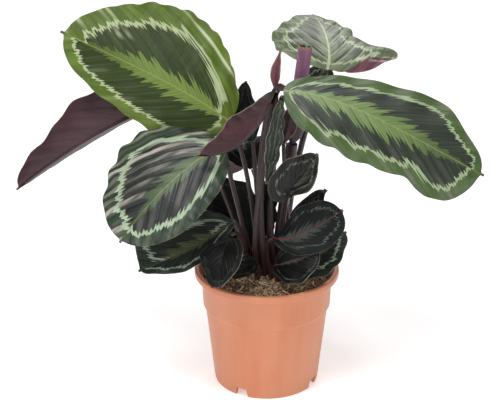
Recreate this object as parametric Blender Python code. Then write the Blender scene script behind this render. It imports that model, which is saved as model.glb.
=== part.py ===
"""Potted calathea: a terracotta-coloured plastic nursery pot, its soil and a clump of patterned leaves.

Metres, +Z up. The pot's axis is Z and the pot stands on Z = 0; the side seen in the photo faces -Y.
Every leaf is a blade and a stalk, and each stalk stands in a plain hole in the soil.
"""
import math

import bmesh
import bpy
from mathutils import Matrix, Vector

MM = 0.001
GAP = 0.3 * MM

# Pot: radii and heights
POT_HEIGHT = 102 * MM
LIP_OUT = 60 * MM
LIP_IN = 55.4 * MM
LIP_TALL = 6 * MM
NECK_TOP = 54.2 * MM
NECK_FOOT = 53.0 * MM
STEP_Z = 70 * MM
STEP_LOW = 67.5 * MM
BODY_TOP = 51.0 * MM
BODY_FOOT = 44.2 * MM
FOOT_OUT = 43.4 * MM
FOOT_LINE = 6 * MM
WALL = 1.4 * MM
FLOOR_UP = 7 * MM
PAD = 20 * MM
FOOT_IN = 40.6 * MM
POT_SEGMENTS = 48

# Drainage notches in the foot
NOTCH_TURN = -28.5
NOTCH_WIDE = 10 * MM
NOTCH_TALL = 8 * MM

# Soil
SOIL_EDGE = 90.5 * MM
SOIL_MOUND = 4.5 * MM
SOIL_BUMP = 0.9 * MM
SOIL_RINGS = 8
SOIL_SPOKES = 36
STALK_FOOT = 80 * MM
STALK_CLEAR = 98 * MM

# Blades
BLADE_THICK = 0.7 * MM
RIB_BASE = 2.1 * MM
RIB_TIP = 0.5 * MM
TIP_START = 0.98
LEAST_HALF = 1.0 * MM
WIDTH_AT = (0.1, 0.3, 0.5, 0.7, 0.9)


# Start from an empty scene
def clear_scene():
    for item in list(bpy.data.objects):
        bpy.data.objects.remove(item, do_unlink=True)


# A plain colour for one piece
def paint(item, colour, roughness):
    shade = bpy.data.materials.new(item.name + "_mat")
    shade.use_nodes = True
    surface = shade.node_tree.nodes["Principled BSDF"]
    surface.inputs["Base Color"].default_value = (colour[0], colour[1], colour[2], 1.0)
    surface.inputs["Roughness"].default_value = roughness
    shade.diffuse_color = (colour[0], colour[1], colour[2], 1.0)
    item.data.materials.clear()
    item.data.materials.append(shade)


# One object from points and faces
def add_solid(name, points, faces):
    mesh = bpy.data.meshes.new(name)
    build = bmesh.new()
    corners = [build.verts.new(point) for point in points]
    for face in faces:
        build.faces.new([corners[i] for i in face])
    bmesh.ops.recalc_face_normals(build, faces=build.faces)
    build.to_mesh(mesh)
    build.free()
    item = bpy.data.objects.new(name, mesh)
    bpy.context.collection.objects.link(item)
    return item


# Split every face into triangles, so that none is bent
def split_faces(item):
    build = bmesh.new()
    build.from_mesh(item.data)
    bmesh.ops.triangulate(build, faces=build.faces)
    build.to_mesh(item.data)
    build.free()


# A closed ring of profile points turned about Z
def turned(name, profile, segments):
    points = []
    for i in range(segments):
        turn = 2 * math.pi * (i + 0.5) / segments
        for radius, height in profile:
            points.append((radius * math.cos(turn), radius * math.sin(turn), height))
    count = len(profile)
    faces = []
    for i in range(segments):
        here = i * count
        there = ((i + 1) % segments) * count
        for j in range(count - 1):
            faces.append((here + j, there + j, there + j + 1, here + j + 1))
    bottom = [i * count for i in range(segments)]
    top = [i * count + count - 1 for i in range(segments)]
    faces.append(tuple(bottom))
    faces.append(tuple(top))
    return add_solid(name, points, faces)


# The pot's section from the middle of its underside, round the lip, to the middle of its floor
def pot_profile():
    inner_foot = BODY_FOOT - WALL
    floor = FLOOR_UP + WALL
    outside = [
        (0.0004, 0.0), (PAD, 0.0), (PAD + 7 * MM, FLOOR_UP), (FOOT_IN - 0.6 * MM, FLOOR_UP),
        (FOOT_IN, 0.0), (FOOT_OUT - 0.5 * MM, 0.0), (FOOT_OUT, 0.6 * MM), (BODY_FOOT, FOOT_LINE),
        (BODY_TOP, STEP_LOW), (NECK_FOOT, STEP_Z), (NECK_TOP, POT_HEIGHT - LIP_TALL),
        (LIP_OUT - 0.6 * MM, POT_HEIGHT - LIP_TALL), (LIP_OUT, POT_HEIGHT - LIP_TALL + 1 * MM),
        (LIP_OUT - 0.1 * MM, POT_HEIGHT - 1.4 * MM), (LIP_OUT - 1.5 * MM, POT_HEIGHT),
    ]
    inside = [
        (LIP_IN + 0.8 * MM, POT_HEIGHT - 0.2 * MM), (LIP_IN, POT_HEIGHT - 1.4 * MM),
        (NECK_TOP - WALL, POT_HEIGHT - LIP_TALL - 1 * MM), (NECK_FOOT - WALL, STEP_Z + 1 * MM),
        (BODY_TOP - WALL, STEP_LOW + 0.6 * MM), (inner_foot, floor), (PAD + 6.2 * MM, floor),
        (PAD - 0.6 * MM, WALL), (0.0004, WALL),
    ]
    return outside + inside


# A trapezoid wedge that cuts one drainage notch through the foot
def notch_cutter(name, turn):
    half = NOTCH_WIDE / 2
    near = FOOT_IN - 3 * MM
    far = FOOT_OUT + 5 * MM
    points = []
    for along in (near, far):
        points.append((-half - 1 * MM, along, -2 * MM))
        points.append((half + 1 * MM, along, -2 * MM))
        points.append((half - 0.5 * MM, along, FLOOR_UP - 0.4 * MM))
        points.append((-half + 0.5 * MM, along, FLOOR_UP - 0.4 * MM))
    points[6] = (half - 0.5 * MM, far, NOTCH_TALL)
    points[7] = (-half + 0.5 * MM, far, NOTCH_TALL)
    faces = [(0, 1, 2, 3), (4, 5, 6, 7), (0, 1, 5, 4), (1, 2, 6, 5), (2, 3, 7, 6), (3, 0, 4, 7)]
    cutter = add_solid(name, points, faces)
    cutter.data.transform(Matrix.Rotation(turn, 4, "Z"))
    cutter.hide_render = True
    cutter.display_type = "WIRE"
    return cutter


# Cut one solid by others and drop the cutters
def cut(item, cutters):
    for cutter in cutters:
        step = item.modifiers.new("cut", "BOOLEAN")
        step.operation = "DIFFERENCE"
        step.solver = "EXACT"
        step.object = cutter
    graph = bpy.context.evaluated_depsgraph_get()
    done = bpy.data.meshes.new_from_object(item.evaluated_get(graph))
    item.modifiers.clear()
    item.data = done
    for cutter in cutters:
        bpy.data.objects.remove(cutter, do_unlink=True)


# Pot with its lip, step, recessed floor and four notches
def make_pot():
    pot = turned("pot", pot_profile(), POT_SEGMENTS)
    cutters = []
    for i in range(4):
        turn = math.radians(NOTCH_TURN + 90 * i + 180)
        cutters.append(notch_cutter("notch_cutter_%d" % i, turn))
    cut(pot, cutters)
    paint(pot, (0.66, 0.26, 0.14), 0.45)
    return pot


# Height of the soil's surface: a low mound with rounded lumps
def soil_height(x, y):
    reach = math.hypot(x, y) / LIP_IN
    lumps = math.sin(x / (7 * MM)) * math.cos(y / (6 * MM) + 0.6)
    lumps += 0.6 * math.sin((x + 0.7 * y) / (4.1 * MM) + 1.3)
    lumps += 0.5 * math.cos((x - 1.2 * y) / (3.3 * MM))
    return SOIL_EDGE + SOIL_MOUND * (1 - reach * reach) + SOIL_BUMP * lumps * 0.6


# Soil that fills the pot up to its bumpy surface
def make_soil(leaves):
    floor = FLOOR_UP + WALL + GAP
    walls = [
        (0.0004, WALL + GAP), (PAD - 0.9 * MM, WALL + GAP), (PAD + 5.8 * MM, floor),
        (BODY_FOOT - WALL - GAP, floor), (BODY_TOP - WALL - GAP, STEP_LOW + 0.9 * MM),
        (NECK_FOOT - WALL - GAP, STEP_Z + 1.4 * MM), (52.0 * MM, SOIL_EDGE - 2 * MM),
    ]
    inner = []
    for i in range(SOIL_RINGS):
        share = 1 - i / (SOIL_RINGS - 1)
        inner.append((51.9 * MM * share + 0.0004 * (1 - share), SOIL_EDGE))
    soil = turned("soil", walls + inner, SOIL_SPOKES)
    for corner in soil.data.vertices:
        if corner.co.z > SOIL_EDGE - 0.5 * MM:
            corner.co.z = soil_height(corner.co.x, corner.co.y)
    split_faces(soil)
    cutters = []
    for leaf_plan in leaves:
        cutters.append(hole_cutter(leaf_plan))
    cut(soil, cutters)
    paint(soil, (0.16, 0.11, 0.06), 0.95)
    return soil


# A plain round hole for one stalk
def hole_cutter(plan):
    x, y = plan["foot"]
    radius = plan["girth"][0] * MM + GAP
    points = []
    for height in (STALK_FOOT - GAP, STALK_CLEAR + 6 * MM):
        for i in range(12):
            turn = 2 * math.pi * (i + 0.5) / 12
            points.append((x * MM + radius * math.cos(turn), y * MM + radius * math.sin(turn), height))
    faces = [tuple(range(12)), tuple(range(12, 24))]
    for i in range(12):
        j = (i + 1) % 12
        faces.append((i, j, 12 + j, 12 + i))
    cutter = add_solid("hole_" + plan["name"], points, faces)
    cutter.hide_render = True
    cutter.display_type = "WIRE"
    return cutter


# Point and direction at a share of a cubic curve
def curve_point(line, share):
    back = 1 - share
    a, b, c, d = line
    return a * back ** 3 + b * 3 * back ** 2 * share + c * 3 * back * share ** 2 + d * share ** 3


def curve_way(line, share):
    back = 1 - share
    a, b, c, d = line
    way = (b - a) * back ** 2 + (c - b) * 2 * back * share + (d - c) * share ** 2
    return way.normalized()


# A smooth reading between five values, level beyond both ends
def between(values, share):
    padded = (values[0],) + tuple(values) + (values[-1],)
    place = min(max((share - WIDTH_AT[0]) / 0.2, 0.0), 3.999999)
    i = int(place)
    f = place - i
    a, b, c, d = padded[i:i + 4]
    slope = c - a + f * (2 * a - 5 * b + 4 * c - d + f * (3 * (b - c) + d - a))
    return b + 0.5 * f * slope


# Half width of a blade at a share of its length
def half_width(plan, side, share):
    spread = min(max(share / TIP_START, 0.0), 1.0)
    rounding = max(0.0, 1 - abs(2 * spread - 1) ** 3) ** 0.5
    if plan["blunt"] and share > 0.5:
        rounding = 1.0
    return max(rounding * between(plan[side], share) * MM, LEAST_HALF)


# Height of the waves of a margin
def wave_height(plan, side, share, across):
    count, height, phase = plan["wave"]
    late = 0.35 if side == "right" else 0.0
    fade = min(1.0, 6 * share, 6 * (1 - share))
    swing = math.sin(2 * math.pi * (count * share + phase + late) - 1.2 * across)
    return height * MM * across ** 2.5 * swing * fade


# Middle surface of a blade: place and outward direction, across from -1 on the left to 1 on the right
def blade_point(plan, share, across):
    side = "left" if across < 0 else "right"
    sign = -1.0 if across < 0 else 1.0
    part = abs(across)
    middle = curve_point(plan["line"], share)
    ahead = curve_way(plan["line"], share)
    face = plan["faces"][0].normalized() * (1 - share) + plan["faces"][1].normalized() * share
    up = (face - ahead * face.dot(ahead)).normalized()
    out = ahead.cross(up) * sign
    first, last = plan["fold"][0 if side == "left" else 1]
    start = math.radians(first * (1 - share) + last * share)
    first, last = plan["curl"][0 if side == "left" else 1]
    bend = math.radians(first * (1 - share) + last * share)
    wide = half_width(plan, side, share)
    if abs(bend) < 0.0001:
        reach = wide * part * math.cos(start)
        rise = wide * part * math.sin(start)
    else:
        reach = wide / bend * (math.sin(start + bend * part) - math.sin(start))
        rise = wide / bend * (math.cos(start) - math.cos(start + bend * part))
    lean = start + bend * part
    normal = up * math.cos(lean) - out * math.sin(lean)
    wave = wave_height(plan, side, share, part)
    return middle + out * reach + up * rise + normal * wave, normal


# Rows along a blade, closer together at both ends
def row_share(i, rows):
    even = i / rows
    return 0.45 * even + 0.55 * (0.5 - 0.5 * math.cos(math.pi * even))


# A thin closed blade with a thicker midrib underneath
def make_blade(plan):
    rows, columns = plan["grid"]
    upper = []
    lower = []
    for i in range(rows + 1):
        share = row_share(i, rows)
        for j in range(columns + 1):
            across = 2 * j / columns - 1
            place, normal = blade_point(plan, share, across)
            rib = 0.0
            if j == columns // 2:
                rib = RIB_TIP + (RIB_BASE - RIB_TIP) * (1 - share) ** 2
            upper.append(place + normal * (BLADE_THICK / 2))
            lower.append(place - normal * (BLADE_THICK / 2 + rib))
    return add_solid("leaf_" + plan["name"], upper + lower, blade_faces(rows, columns))


# Triangles of a blade, split alike on both faces
def blade_faces(rows, columns):
    wide = columns + 1
    below = (rows + 1) * wide
    faces = []
    for i in range(rows):
        for j in range(columns):
            a = i * wide + j
            b = a + 1
            c = a + wide + 1
            d = a + wide
            faces += [(a, b, c), (a, c, d)]
            faces += [(below + c, below + b, below + a), (below + d, below + c, below + a)]
    rim = [j for j in range(wide)]
    rim += [i * wide + columns for i in range(1, rows + 1)]
    rim += [rows * wide + j for j in range(columns - 1, -1, -1)]
    rim += [i * wide for i in range(rows - 1, 0, -1)]
    for k, a in enumerate(rim):
        b = rim[(k + 1) % len(rim)]
        faces += [(b, a, below + a), (b, below + a, below + b)]
    return faces


# A round stalk from its hole in the soil to just short of its blade
def make_stalk(plan):
    x, y = plan["foot"]
    start = Vector((x, y, 97)) * MM
    line = [start, plan["rise"][0], plan["rise"][1], plan["line"][0]]
    places = [Vector((x * MM, y * MM, STALK_FOOT))]
    ways = [Vector((0, 0, 1))]
    steps = 7
    for i in range(steps + 1):
        places.append(curve_point(line, i / steps))
        ways.append(curve_way(line, i / steps))
    ways[1] = (ways[1] + Vector((0, 0, 1))).normalized()
    places[-1] = places[-1] - ways[-1] * plan["stop"] * MM
    points = []
    for k, place in enumerate(places):
        share = max(0, k - 1) / steps
        low, middle, high = plan["girth"]
        if share < 0.35:
            radius = low + (middle - low) * share / 0.35
        else:
            radius = middle + (high - middle) * (share - 0.35) / 0.65
        points += ring_points(place, ways[k], radius * MM)
    return add_solid("stalk_" + plan["name"], points, tube_faces(len(places), 6))


# Six points round a place, square to a direction
def ring_points(place, way, radius):
    side = way.cross(Vector((0, 1, 0))).normalized()
    other = way.cross(side)
    points = []
    for i in range(6):
        turn = i * math.pi / 3
        points.append(place + side * radius * math.cos(turn) + other * radius * math.sin(turn))
    return points


def tube_faces(rings, around):
    faces = []
    for i in range(rings - 1):
        for j in range(around):
            k = (j + 1) % around
            a = i * around + j
            b = i * around + k
            faces += [(a, b, b + around), (a, b + around, a + around)]
    last = (rings - 1) * around
    for j in range(1, around - 1):
        faces.append((0, j + 1, j))
        faces.append((last, last + j, last + j + 1))
    return faces


LEAVES = []


# One leaf's plan: lengths in millimetres, angles in degrees.
# line: base, two handles and tip of the midrib; faces: where the upper side looks at base and tip;
# left, right: half widths at WIDTH_AT; fold, curl: slant and bend of each half at base and tip
def leaf(name, line, faces, left, right, fold, curl, wave, grid, girth, stop, foot, rise, blunt=False):
    LEAVES.append({
        "name": name,
        "line": [Vector(point) * MM for point in line],
        "faces": [Vector(way) for way in faces],
        "left": left,
        "right": right,
        "fold": fold,
        "curl": curl,
        "wave": wave,
        "grid": grid,
        "foot": foot,
        "rise": [Vector(point) * MM for point in rise],
        "girth": girth,
        "stop": stop,
        "blunt": blunt,
    })


leaf("upper_left", ((-30, 5, 227), (-60, 12, 250), (-111, 36, 266), (-168, 52, 288)),
     faces=((-0.1, -0.8, 0.6), (-0.3, -0.75, 0.6)), left=(55, 46, 42, 38, 36), right=(39, 54, 62, 57, 46),
     fold=((-20, -14), (4, 2)), curl=((-22, -20), (-14, -14)),
     wave=(6, 1.3, 0), grid=(20, 8), girth=(2.6, 2, 1.7), stop=0.9,
     foot=(-5, 8), rise=((-11, 6, 145), (-17, 2, 206)))
leaf("far_left", ((-88, 40, 228), (-127, 50, 211), (-169, 46, 185), (-209, 34, 156)),
     faces=((0.3, 0.9, 0.3), (0.2, 0.95, 0.3)), left=(20, 34, 38, 26, 24), right=(31, 41, 51, 41, 34),
     fold=((30, 40), (50, 50)), curl=((30, 30), (40, 40)),
     wave=(6, 1.3, 0), grid=(20, 8), girth=(2.6, 2, 1.7), stop=0.5,
     foot=(-15, 12), rise=((-26, 24, 137), (-63, 38, 238)))
leaf("mid_left", ((-35, -20, 216), (-61, -36, 211), (-95, -56, 182), (-115, -68, 154)),
     faces=((-0.15, -0.75, 0.65), (-0.25, -0.8, 0.55)), left=(30, 33, 36, 36, 32), right=(45, 58, 61, 53, 47),
     fold=((4, 4), (-8, -8)), curl=((-14, -14), (-20, -20)),
     wave=(6, 1.3, 0), grid=(20, 8), girth=(2.6, 2, 1.7), stop=2.7,
     foot=(-10, 3), rise=((-18, 0, 129), (-33, -12, 201)))
leaf("low_left", ((-27, -12, 147), (-42, -26, 142), (-74, -40, 128), (-103, -44, 118)),
     faces=((-0.1, -0.6, 0.75), (-0.2, -0.7, 0.6)), left=(7, 11, 16, 16, 10), right=(25, 26, 30, 40, 56),
     fold=((4, 4), (4, 4)), curl=((-10, -10), (-10, -10)),
     wave=(6, 1.3, 0), grid=(16, 6), girth=(2.6, 2, 1.7), stop=1,
     foot=(-20, 2), rise=((-16, -6, 114), (-21, -8, 145)))
leaf("rim_left", ((-30, -31, 142), (-35, -46, 142), (-36, -58, 130), (-44, -64, 113)),
     faces=((-0.2, -0.8, 0.55), (-0.4, -0.85, 0.2)), left=(13, 16, 18, 16, 14), right=(5, 12, 18, 16, 12),
     fold=((10, 10), (10, 10)), curl=((0, 0), (0, 0)),
     wave=(3, 1, 0), grid=(10, 6), girth=(2.6, 2, 1.7), stop=1.5,
     foot=(-16, -6), rise=((-17, -12, 131), (-23, -28, 150)))
leaf("centre_arch", ((6, -20, 261), (-3, -32, 240), (-22, -46, 213), (-55, -44, 218)),
     faces=((0.1, 0.95, 0.2), (0, 0.95, 0.2)), left=(12, 16, 21, 18, 16), right=(12, 13, 14, 12, 8),
     fold=((10, 10), (70, 70)), curl=((15, 15), (60, 60)),
     wave=(6, 1.3, 0), grid=(16, 6), girth=(2.6, 2, 1.7), stop=5.2,
     foot=(-7, -6), rise=((-17, -16, 152), (7, -15, 243)))
leaf("rolled", ((20, 2, 210), (20, 0, 230), (25, 0, 256), (28, 2, 290)),
     faces=((0.3, 0.9, 0.2), (0.3, 0.9, 0.2)), left=(26, 24, 17, 16, 15), right=(26, 24, 17, 16, 15),
     fold=((0, 0), (0, 0)), curl=((166, 166), (166, 166)),
     wave=(3, 0.3, 0), grid=(10, 6), girth=(3.2, 4.2, 4.6), stop=0.6, blunt=True,
     foot=(9, 9), rise=((8, 6, 127), (18, 2, 173)))
leaf("right", ((12, -24, 263), (56, -32, 267), (117, -60, 233), (164, -70, 211)),
     faces=((-0.1, -0.55, 0.85), (0.1, -0.65, 0.75)), left=(18, 24, 31, 37, 27), right=(36, 37, 38, 34, 49),
     fold=((6, 6), (-10, -10)), curl=((10, 10), (-24, -24)),
     wave=(6, 1.3, 0), grid=(20, 8), girth=(3.4, 3.2, 3), stop=2.9,
     foot=(0, -4), rise=((-15, -6, 164), (3, 4, 277)))
leaf("top_right", ((48, 22, 265), (54, 44, 275), (48, 84, 284), (40, 118, 283)),
     faces=((0, -0.45, 0.9), (0, 0.3, 1)), left=(33, 44, 46, 39, 29), right=(47, 58, 27, 25, 16),
     fold=((4, 8), (2, -6)), curl=((-6, -6), (-6, -6)),
     wave=(6, 1.3, 0), grid=(20, 8), girth=(2.8, 2.4, 2), stop=2.2,
     foot=(17, 13), rise=((14, 14, 155), (31, 16, 225)))
leaf("behind_right", ((34, 34, 225), (35, 36, 239), (41, 38, 253), (48, 40, 266)),
     faces=((-0.2, -0.9, 0.3), (-0.2, -0.9, 0.3)), left=(12, 14, 14, 12, 8), right=(16, 20, 22, 20, 14),
     fold=((10, 10), (10, 10)), curl=((0, 0), (0, 0)),
     wave=(3, 1, 0), grid=(10, 6), girth=(2.6, 2, 1.7), stop=0.5,
     foot=(14, 22), rise=((15, 24, 142), (29, 30, 202)))
leaf("behind_left", ((-12, 26, 203), (-15, 24, 220), (-20, 24, 239), (-17, 30, 253)),
     faces=((-0.2, -1, 0.3), (0, -1, 0.2)), left=(16, 15, 12, 9, 7), right=(8, 10, 10, 8, 6),
     fold=((10, 10), (10, 10)), curl=((0, 0), (0, 0)),
     wave=(3, 1, 0), grid=(10, 6), girth=(2.6, 2, 1.7), stop=0.5,
     foot=(-1, 17), rise=((-7, 18, 126), (-9, 24, 182)))
leaf("hanging", ((10, -20, 254), (8, -25, 238), (5, -27, 219), (-1, -26, 186)),
     faces=((0.35, -0.9, 0.1), (0.35, -0.9, 0.1)), left=(5, 6, 7, 7, 6), right=(6, 7, 8, 8, 5),
     fold=((10, 10), (10, 10)), curl=((0, 0), (0, 0)),
     wave=(3, 1, 0), grid=(10, 6), girth=(2.6, 2, 1.7), stop=1.7,
     foot=(3, 5), rise=((-2, 6, 167), (17, 12, 262)))
leaf("cupped", ((17, -30, 177), (12, -40, 186), (28, -44, 204), (39, -40, 217)),
     faces=((-0.1, -0.9, 0.3), (-0.1, -0.9, 0.3)), left=(19, 18, 18, 16, 12), right=(7, 10, 16, 24, 12),
     fold=((10, 10), (30, 30)), curl=((20, 20), (40, 40)),
     wave=(3, 1, 0), grid=(10, 6), girth=(2.2, 1.8, 1.5), stop=0.9,
     foot=(9, -5), rise=((13, -2, 117), (14, -8, 168)))
leaf("front_right", ((6, -24, 138), (20, -38, 139), (39, -50, 159), (59, -48, 173)),
     faces=((0, -0.8, 0.6), (0, -0.85, 0.5)), left=(15, 18, 21, 21, 21), right=(10, 15, 19, 20, 20),
     fold=((4, 4), (-4, -4)), curl=((-10, -10), (-20, -20)),
     wave=(3, 1, 0), grid=(10, 6), girth=(2.4, 1.9, 1.6), stop=0.7,
     foot=(4, -10), rise=((-1, -11, 116), (-3, -18, 135)))
leaf("tucked_right", ((24, -14, 141), (36, -20, 139), (36, -22, 162), (47, -18, 178)),
     faces=((0, -0.9, 0.3), (0, -0.9, 0.3)), left=(14, 16, 18, 15, 12), right=(12, 12, 12, 8, 3),
     fold=((10, 10), (10, 10)), curl=((0, 0), (0, 0)),
     wave=(3, 1, 0), grid=(10, 6), girth=(2.2, 1.8, 1.5), stop=2.1,
     foot=(15, -2), rise=((13, -7, 110), (19, -10, 124)))
leaf("soil_right", ((6, -23, 113), (16, -34, 120), (29, -44, 130), (42, -44, 135)),
     faces=((0, -0.8, 0.6), (0, -0.85, 0.5)), left=(10, 12, 12, 11, 8), right=(13, 18, 20, 18, 14),
     fold=((10, 10), (10, 10)), curl=((0, 0), (0, 0)),
     wave=(3, 1, 0), grid=(10, 6), girth=(2.2, 1.8, 1.5), stop=0.5,
     foot=(10, -16), rise=((7, -18, 102), (2, -19, 109)))
leaf("rim_right", ((21, 0, 108), (31, -14, 109), (49, -22, 124), (64, -18, 141)),
     faces=((0.1, -0.75, 0.65), (0.2, -0.75, 0.6)), left=(14, 16, 18, 17, 16), right=(14, 17, 19, 17, 12),
     fold=((10, 10), (10, 10)), curl=((0, 0), (0, 0)),
     wave=(3, 1, 0), grid=(10, 6), girth=(2.2, 1.8, 1.5), stop=1,
     foot=(20, 4), rise=((20, 4, 101), (19, 3, 106)))
leaf("dark_centre", ((-2, 15, 122), (-2, 15, 132), (0, 15, 155), (1, 13, 177)),
     faces=((0.2, -0.9, 0.3), (0.2, -0.9, 0.3)), left=(6, 7, 7, 6, 5), right=(9, 10, 10, 9, 5),
     fold=((10, 10), (10, 10)), curl=((0, 0), (0, 0)),
     wave=(3, 1, 0), grid=(8, 4), girth=(2, 1.7, 1.5), stop=0.4,
     foot=(3, 10), rise=((2, 10, 100), (-1, 14, 110)))
leaf("soil_left", ((-8, -15, 110), (-15, -24, 117), (-22, -31, 115), (-28, -36, 107)),
     faces=((0, -0.75, 0.65), (0, -0.8, 0.55)), left=(8, 10, 10, 9, 7), right=(7, 9, 9, 8, 6),
     fold=((10, 10), (10, 10)), curl=((0, 0), (0, 0)),
     wave=(3, 1, 0), grid=(8, 4), girth=(2, 1.7, 1.5), stop=0.9,
     foot=(-8, -14), rise=((-5, -14, 102), (-6, -14, 106)))
leaf("back_low", ((-7, 24, 109), (-20, 30, 125), (-38, 36, 145), (-48, 42, 165)),
     faces=((0, -0.9, 0.35), (0, -0.9, 0.35)), left=(14, 18, 20, 18, 14), right=(14, 20, 25, 26, 18),
     fold=((10, 10), (10, 10)), curl=((0, 0), (0, 0)),
     wave=(3, 1, 0), grid=(10, 6), girth=(2.2, 1.8, 1.6), stop=0.6,
     foot=(-6, 18), rise=((-5, 20, 96), (-5, 22, 104)))
leaf("back", ((-12, 30, 177), (-20, 48, 205), (-26, 80, 190), (-30, 104, 140)),
     faces=((0, -0.3, 1), (0, 0.5, 0.8)), left=(28, 32, 32, 30, 24), right=(28, 32, 32, 30, 24),
     fold=((10, 10), (10, 10)), curl=((0, 0), (0, 0)),
     wave=(3, 1, 0), grid=(10, 6), girth=(2.6, 2, 1.7), stop=1,
     foot=(8, 20), rise=((3, 22, 126), (-5, 27, 159)))
leaf("spike", ((7, -2, 258), (4, -2, 268), (7, -2, 276), (10, -2, 289)),
     faces=((0.2, 0.9, 0.1), (0.2, 0.9, 0.1)), left=(3, 4, 4, 3, 2), right=(3, 4, 4, 3, 2),
     fold=((10, 10), (10, 10)), curl=((0, 0), (0, 0)),
     wave=(2, 0.5, 0), grid=(8, 4), girth=(2.4, 1.9, 1.6), stop=0.6,
     foot=(7, 1), rise=((-2, 0, 157), (8, -2, 238)))
leaf("sheath", ((13, -7, 214), (16, -8, 226), (19, -8, 237), (19, -7, 247)),
     faces=((0.2, 0.95, 0.1), (0.2, 0.95, 0.1)), left=(5, 7, 7, 6, 4), right=(5, 7, 7, 6, 4),
     fold=((10, 10), (10, 10)), curl=((0, 0), (0, 0)),
     wave=(3, 0.6, 0), grid=(10, 6), girth=(2, 1.7, 1.5), stop=0.6,
     foot=(14, 6), rise=((22, 4, 132), (13, -10, 178)))


# Colours by kind of leaf: bright, dark or seen from its purple underside
BRIGHT = ("upper_left",)
PURPLE = ("far_left", "centre_arch", "rolled", "spike", "sheath")
GREY = ("right", "top_right", "mid_left")


def blade_colour(name):
    if name in BRIGHT:
        return (0.16, 0.25, 0.05)
    if name in PURPLE:
        return (0.14, 0.035, 0.055)
    if name in GREY:
        return (0.08, 0.13, 0.06)
    return (0.02, 0.035, 0.02)


clear_scene()
make_pot()
make_soil(LEAVES)
for plan in LEAVES:
    blade = make_blade(plan)
    paint(blade, blade_colour(plan["name"]), 0.4)
    stem = make_stalk(plan)
    paint(stem, (0.06, 0.02, 0.025), 0.45)
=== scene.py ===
# %% [markdown]
# # A potted calathea, dressed for its photograph
# The CAD model of this house plant is finished: a nursery pot, its soil and twenty-two leaves on their stalks.
# Its solids are plain and faceted, because they are made for measuring and for physics. This lesson builds the
# same plant again with everything that the eye wants: pleated blades with a painted-looking pattern, streaked
# stalks, fibrous soil and a moulded plastic pot. The imported CAD model is loaded first. It is the fixed frame in
# which every new piece is placed, and its box is kept.

# %% Load the fixed frame
import math
import random

import bpy
from mathutils import Matrix, Vector, kdtree, noise


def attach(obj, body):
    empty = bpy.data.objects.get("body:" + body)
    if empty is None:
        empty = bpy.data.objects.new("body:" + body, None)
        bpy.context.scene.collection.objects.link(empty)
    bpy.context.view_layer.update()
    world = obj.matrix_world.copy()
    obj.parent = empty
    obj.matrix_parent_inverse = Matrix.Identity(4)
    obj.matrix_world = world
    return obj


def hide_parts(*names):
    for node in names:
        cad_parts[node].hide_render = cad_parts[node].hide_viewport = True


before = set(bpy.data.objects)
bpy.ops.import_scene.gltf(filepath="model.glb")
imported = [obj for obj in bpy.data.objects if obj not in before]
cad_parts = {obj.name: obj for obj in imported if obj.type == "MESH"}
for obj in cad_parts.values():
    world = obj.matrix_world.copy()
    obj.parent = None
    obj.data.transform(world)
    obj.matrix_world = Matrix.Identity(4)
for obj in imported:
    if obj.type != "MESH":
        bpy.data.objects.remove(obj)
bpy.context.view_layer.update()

MM = 0.001

# %% [markdown]
# ## Camera
# The picture was taken from a little over a metre away, looking down at the plant. The camera was fitted to the
# ellipse of the pot's lip and to the front of its foot. A long lens keeps the pot's sides nearly parallel, as in
# the picture. The camera has no shift and no depth of field, so other views can turn it round the plant.

# %% Camera at the photograph's viewing angle
PICTURE_WIDE = 500
FOCAL_PIXELS = 1538
SENSOR = 36
CAMERA_PLACE = (-0.01386, -1.1531, 0.6513)
CAMERA_TILT = 66.97

camera_data = bpy.data.cameras.new("plant_camera")
camera_data.sensor_width = SENSOR
camera_data.lens = FOCAL_PIXELS / PICTURE_WIDE * SENSOR
camera = bpy.data.objects.new("plant_camera", camera_data)
camera.location = CAMERA_PLACE
camera.rotation_euler = (math.radians(CAMERA_TILT), 0, 0)
bpy.context.collection.objects.link(camera)
bpy.context.scene.camera = camera
bpy.context.scene.view_settings.view_transform = "Standard"
print("lens %.1f mm" % camera_data.lens)

# %% [markdown]
# ## Shader sums
# Every finish in this lesson is worked out from numbers: how far a spot lies from the midrib, which lateral vein
# it is on, how deep it lies inside the margin. Nodes can be wired by hand, but sums are easier to read than
# wires. `Signal` wraps one number socket, and writing a sum on it adds the Math node. `Finish` is one material:
# its `add` method makes any node, its settings first and its sockets after.

# %% A class for sums, and one for a finish
class Signal:
    """A number on its way between nodes; sums on it add Math nodes."""

    def __init__(self, finish, socket):
        self.finish = finish
        self.socket = socket

    def sum(self, how, *terms):
        return self.finish.maths(how, self, *terms)

    def __add__(self, other):
        return self.finish.maths("ADD", self, other)

    def __sub__(self, other):
        return self.finish.maths("SUBTRACT", self, other)

    def __rsub__(self, other):
        return self.finish.maths("SUBTRACT", other, self)

    def __mul__(self, other):
        return self.finish.maths("MULTIPLY", self, other)

    def __truediv__(self, other):
        return self.finish.maths("DIVIDE", self, other)

    def __rtruediv__(self, other):
        return self.finish.maths("DIVIDE", other, self)

    def __pow__(self, other):
        return self.finish.maths("POWER", self, other)

    __radd__ = __add__
    __rmul__ = __mul__

    def rise(self, low, high):
        """0 at low and 1 at high, with soft ends; low may be the larger."""
        node = self.finish.add("ShaderNodeMapRange", {"interpolation_type": "SMOOTHSTEP"},
                               {"Value": self, "From Min": low, "From Max": high})
        return Signal(self.finish, node.outputs["Result"])


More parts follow.
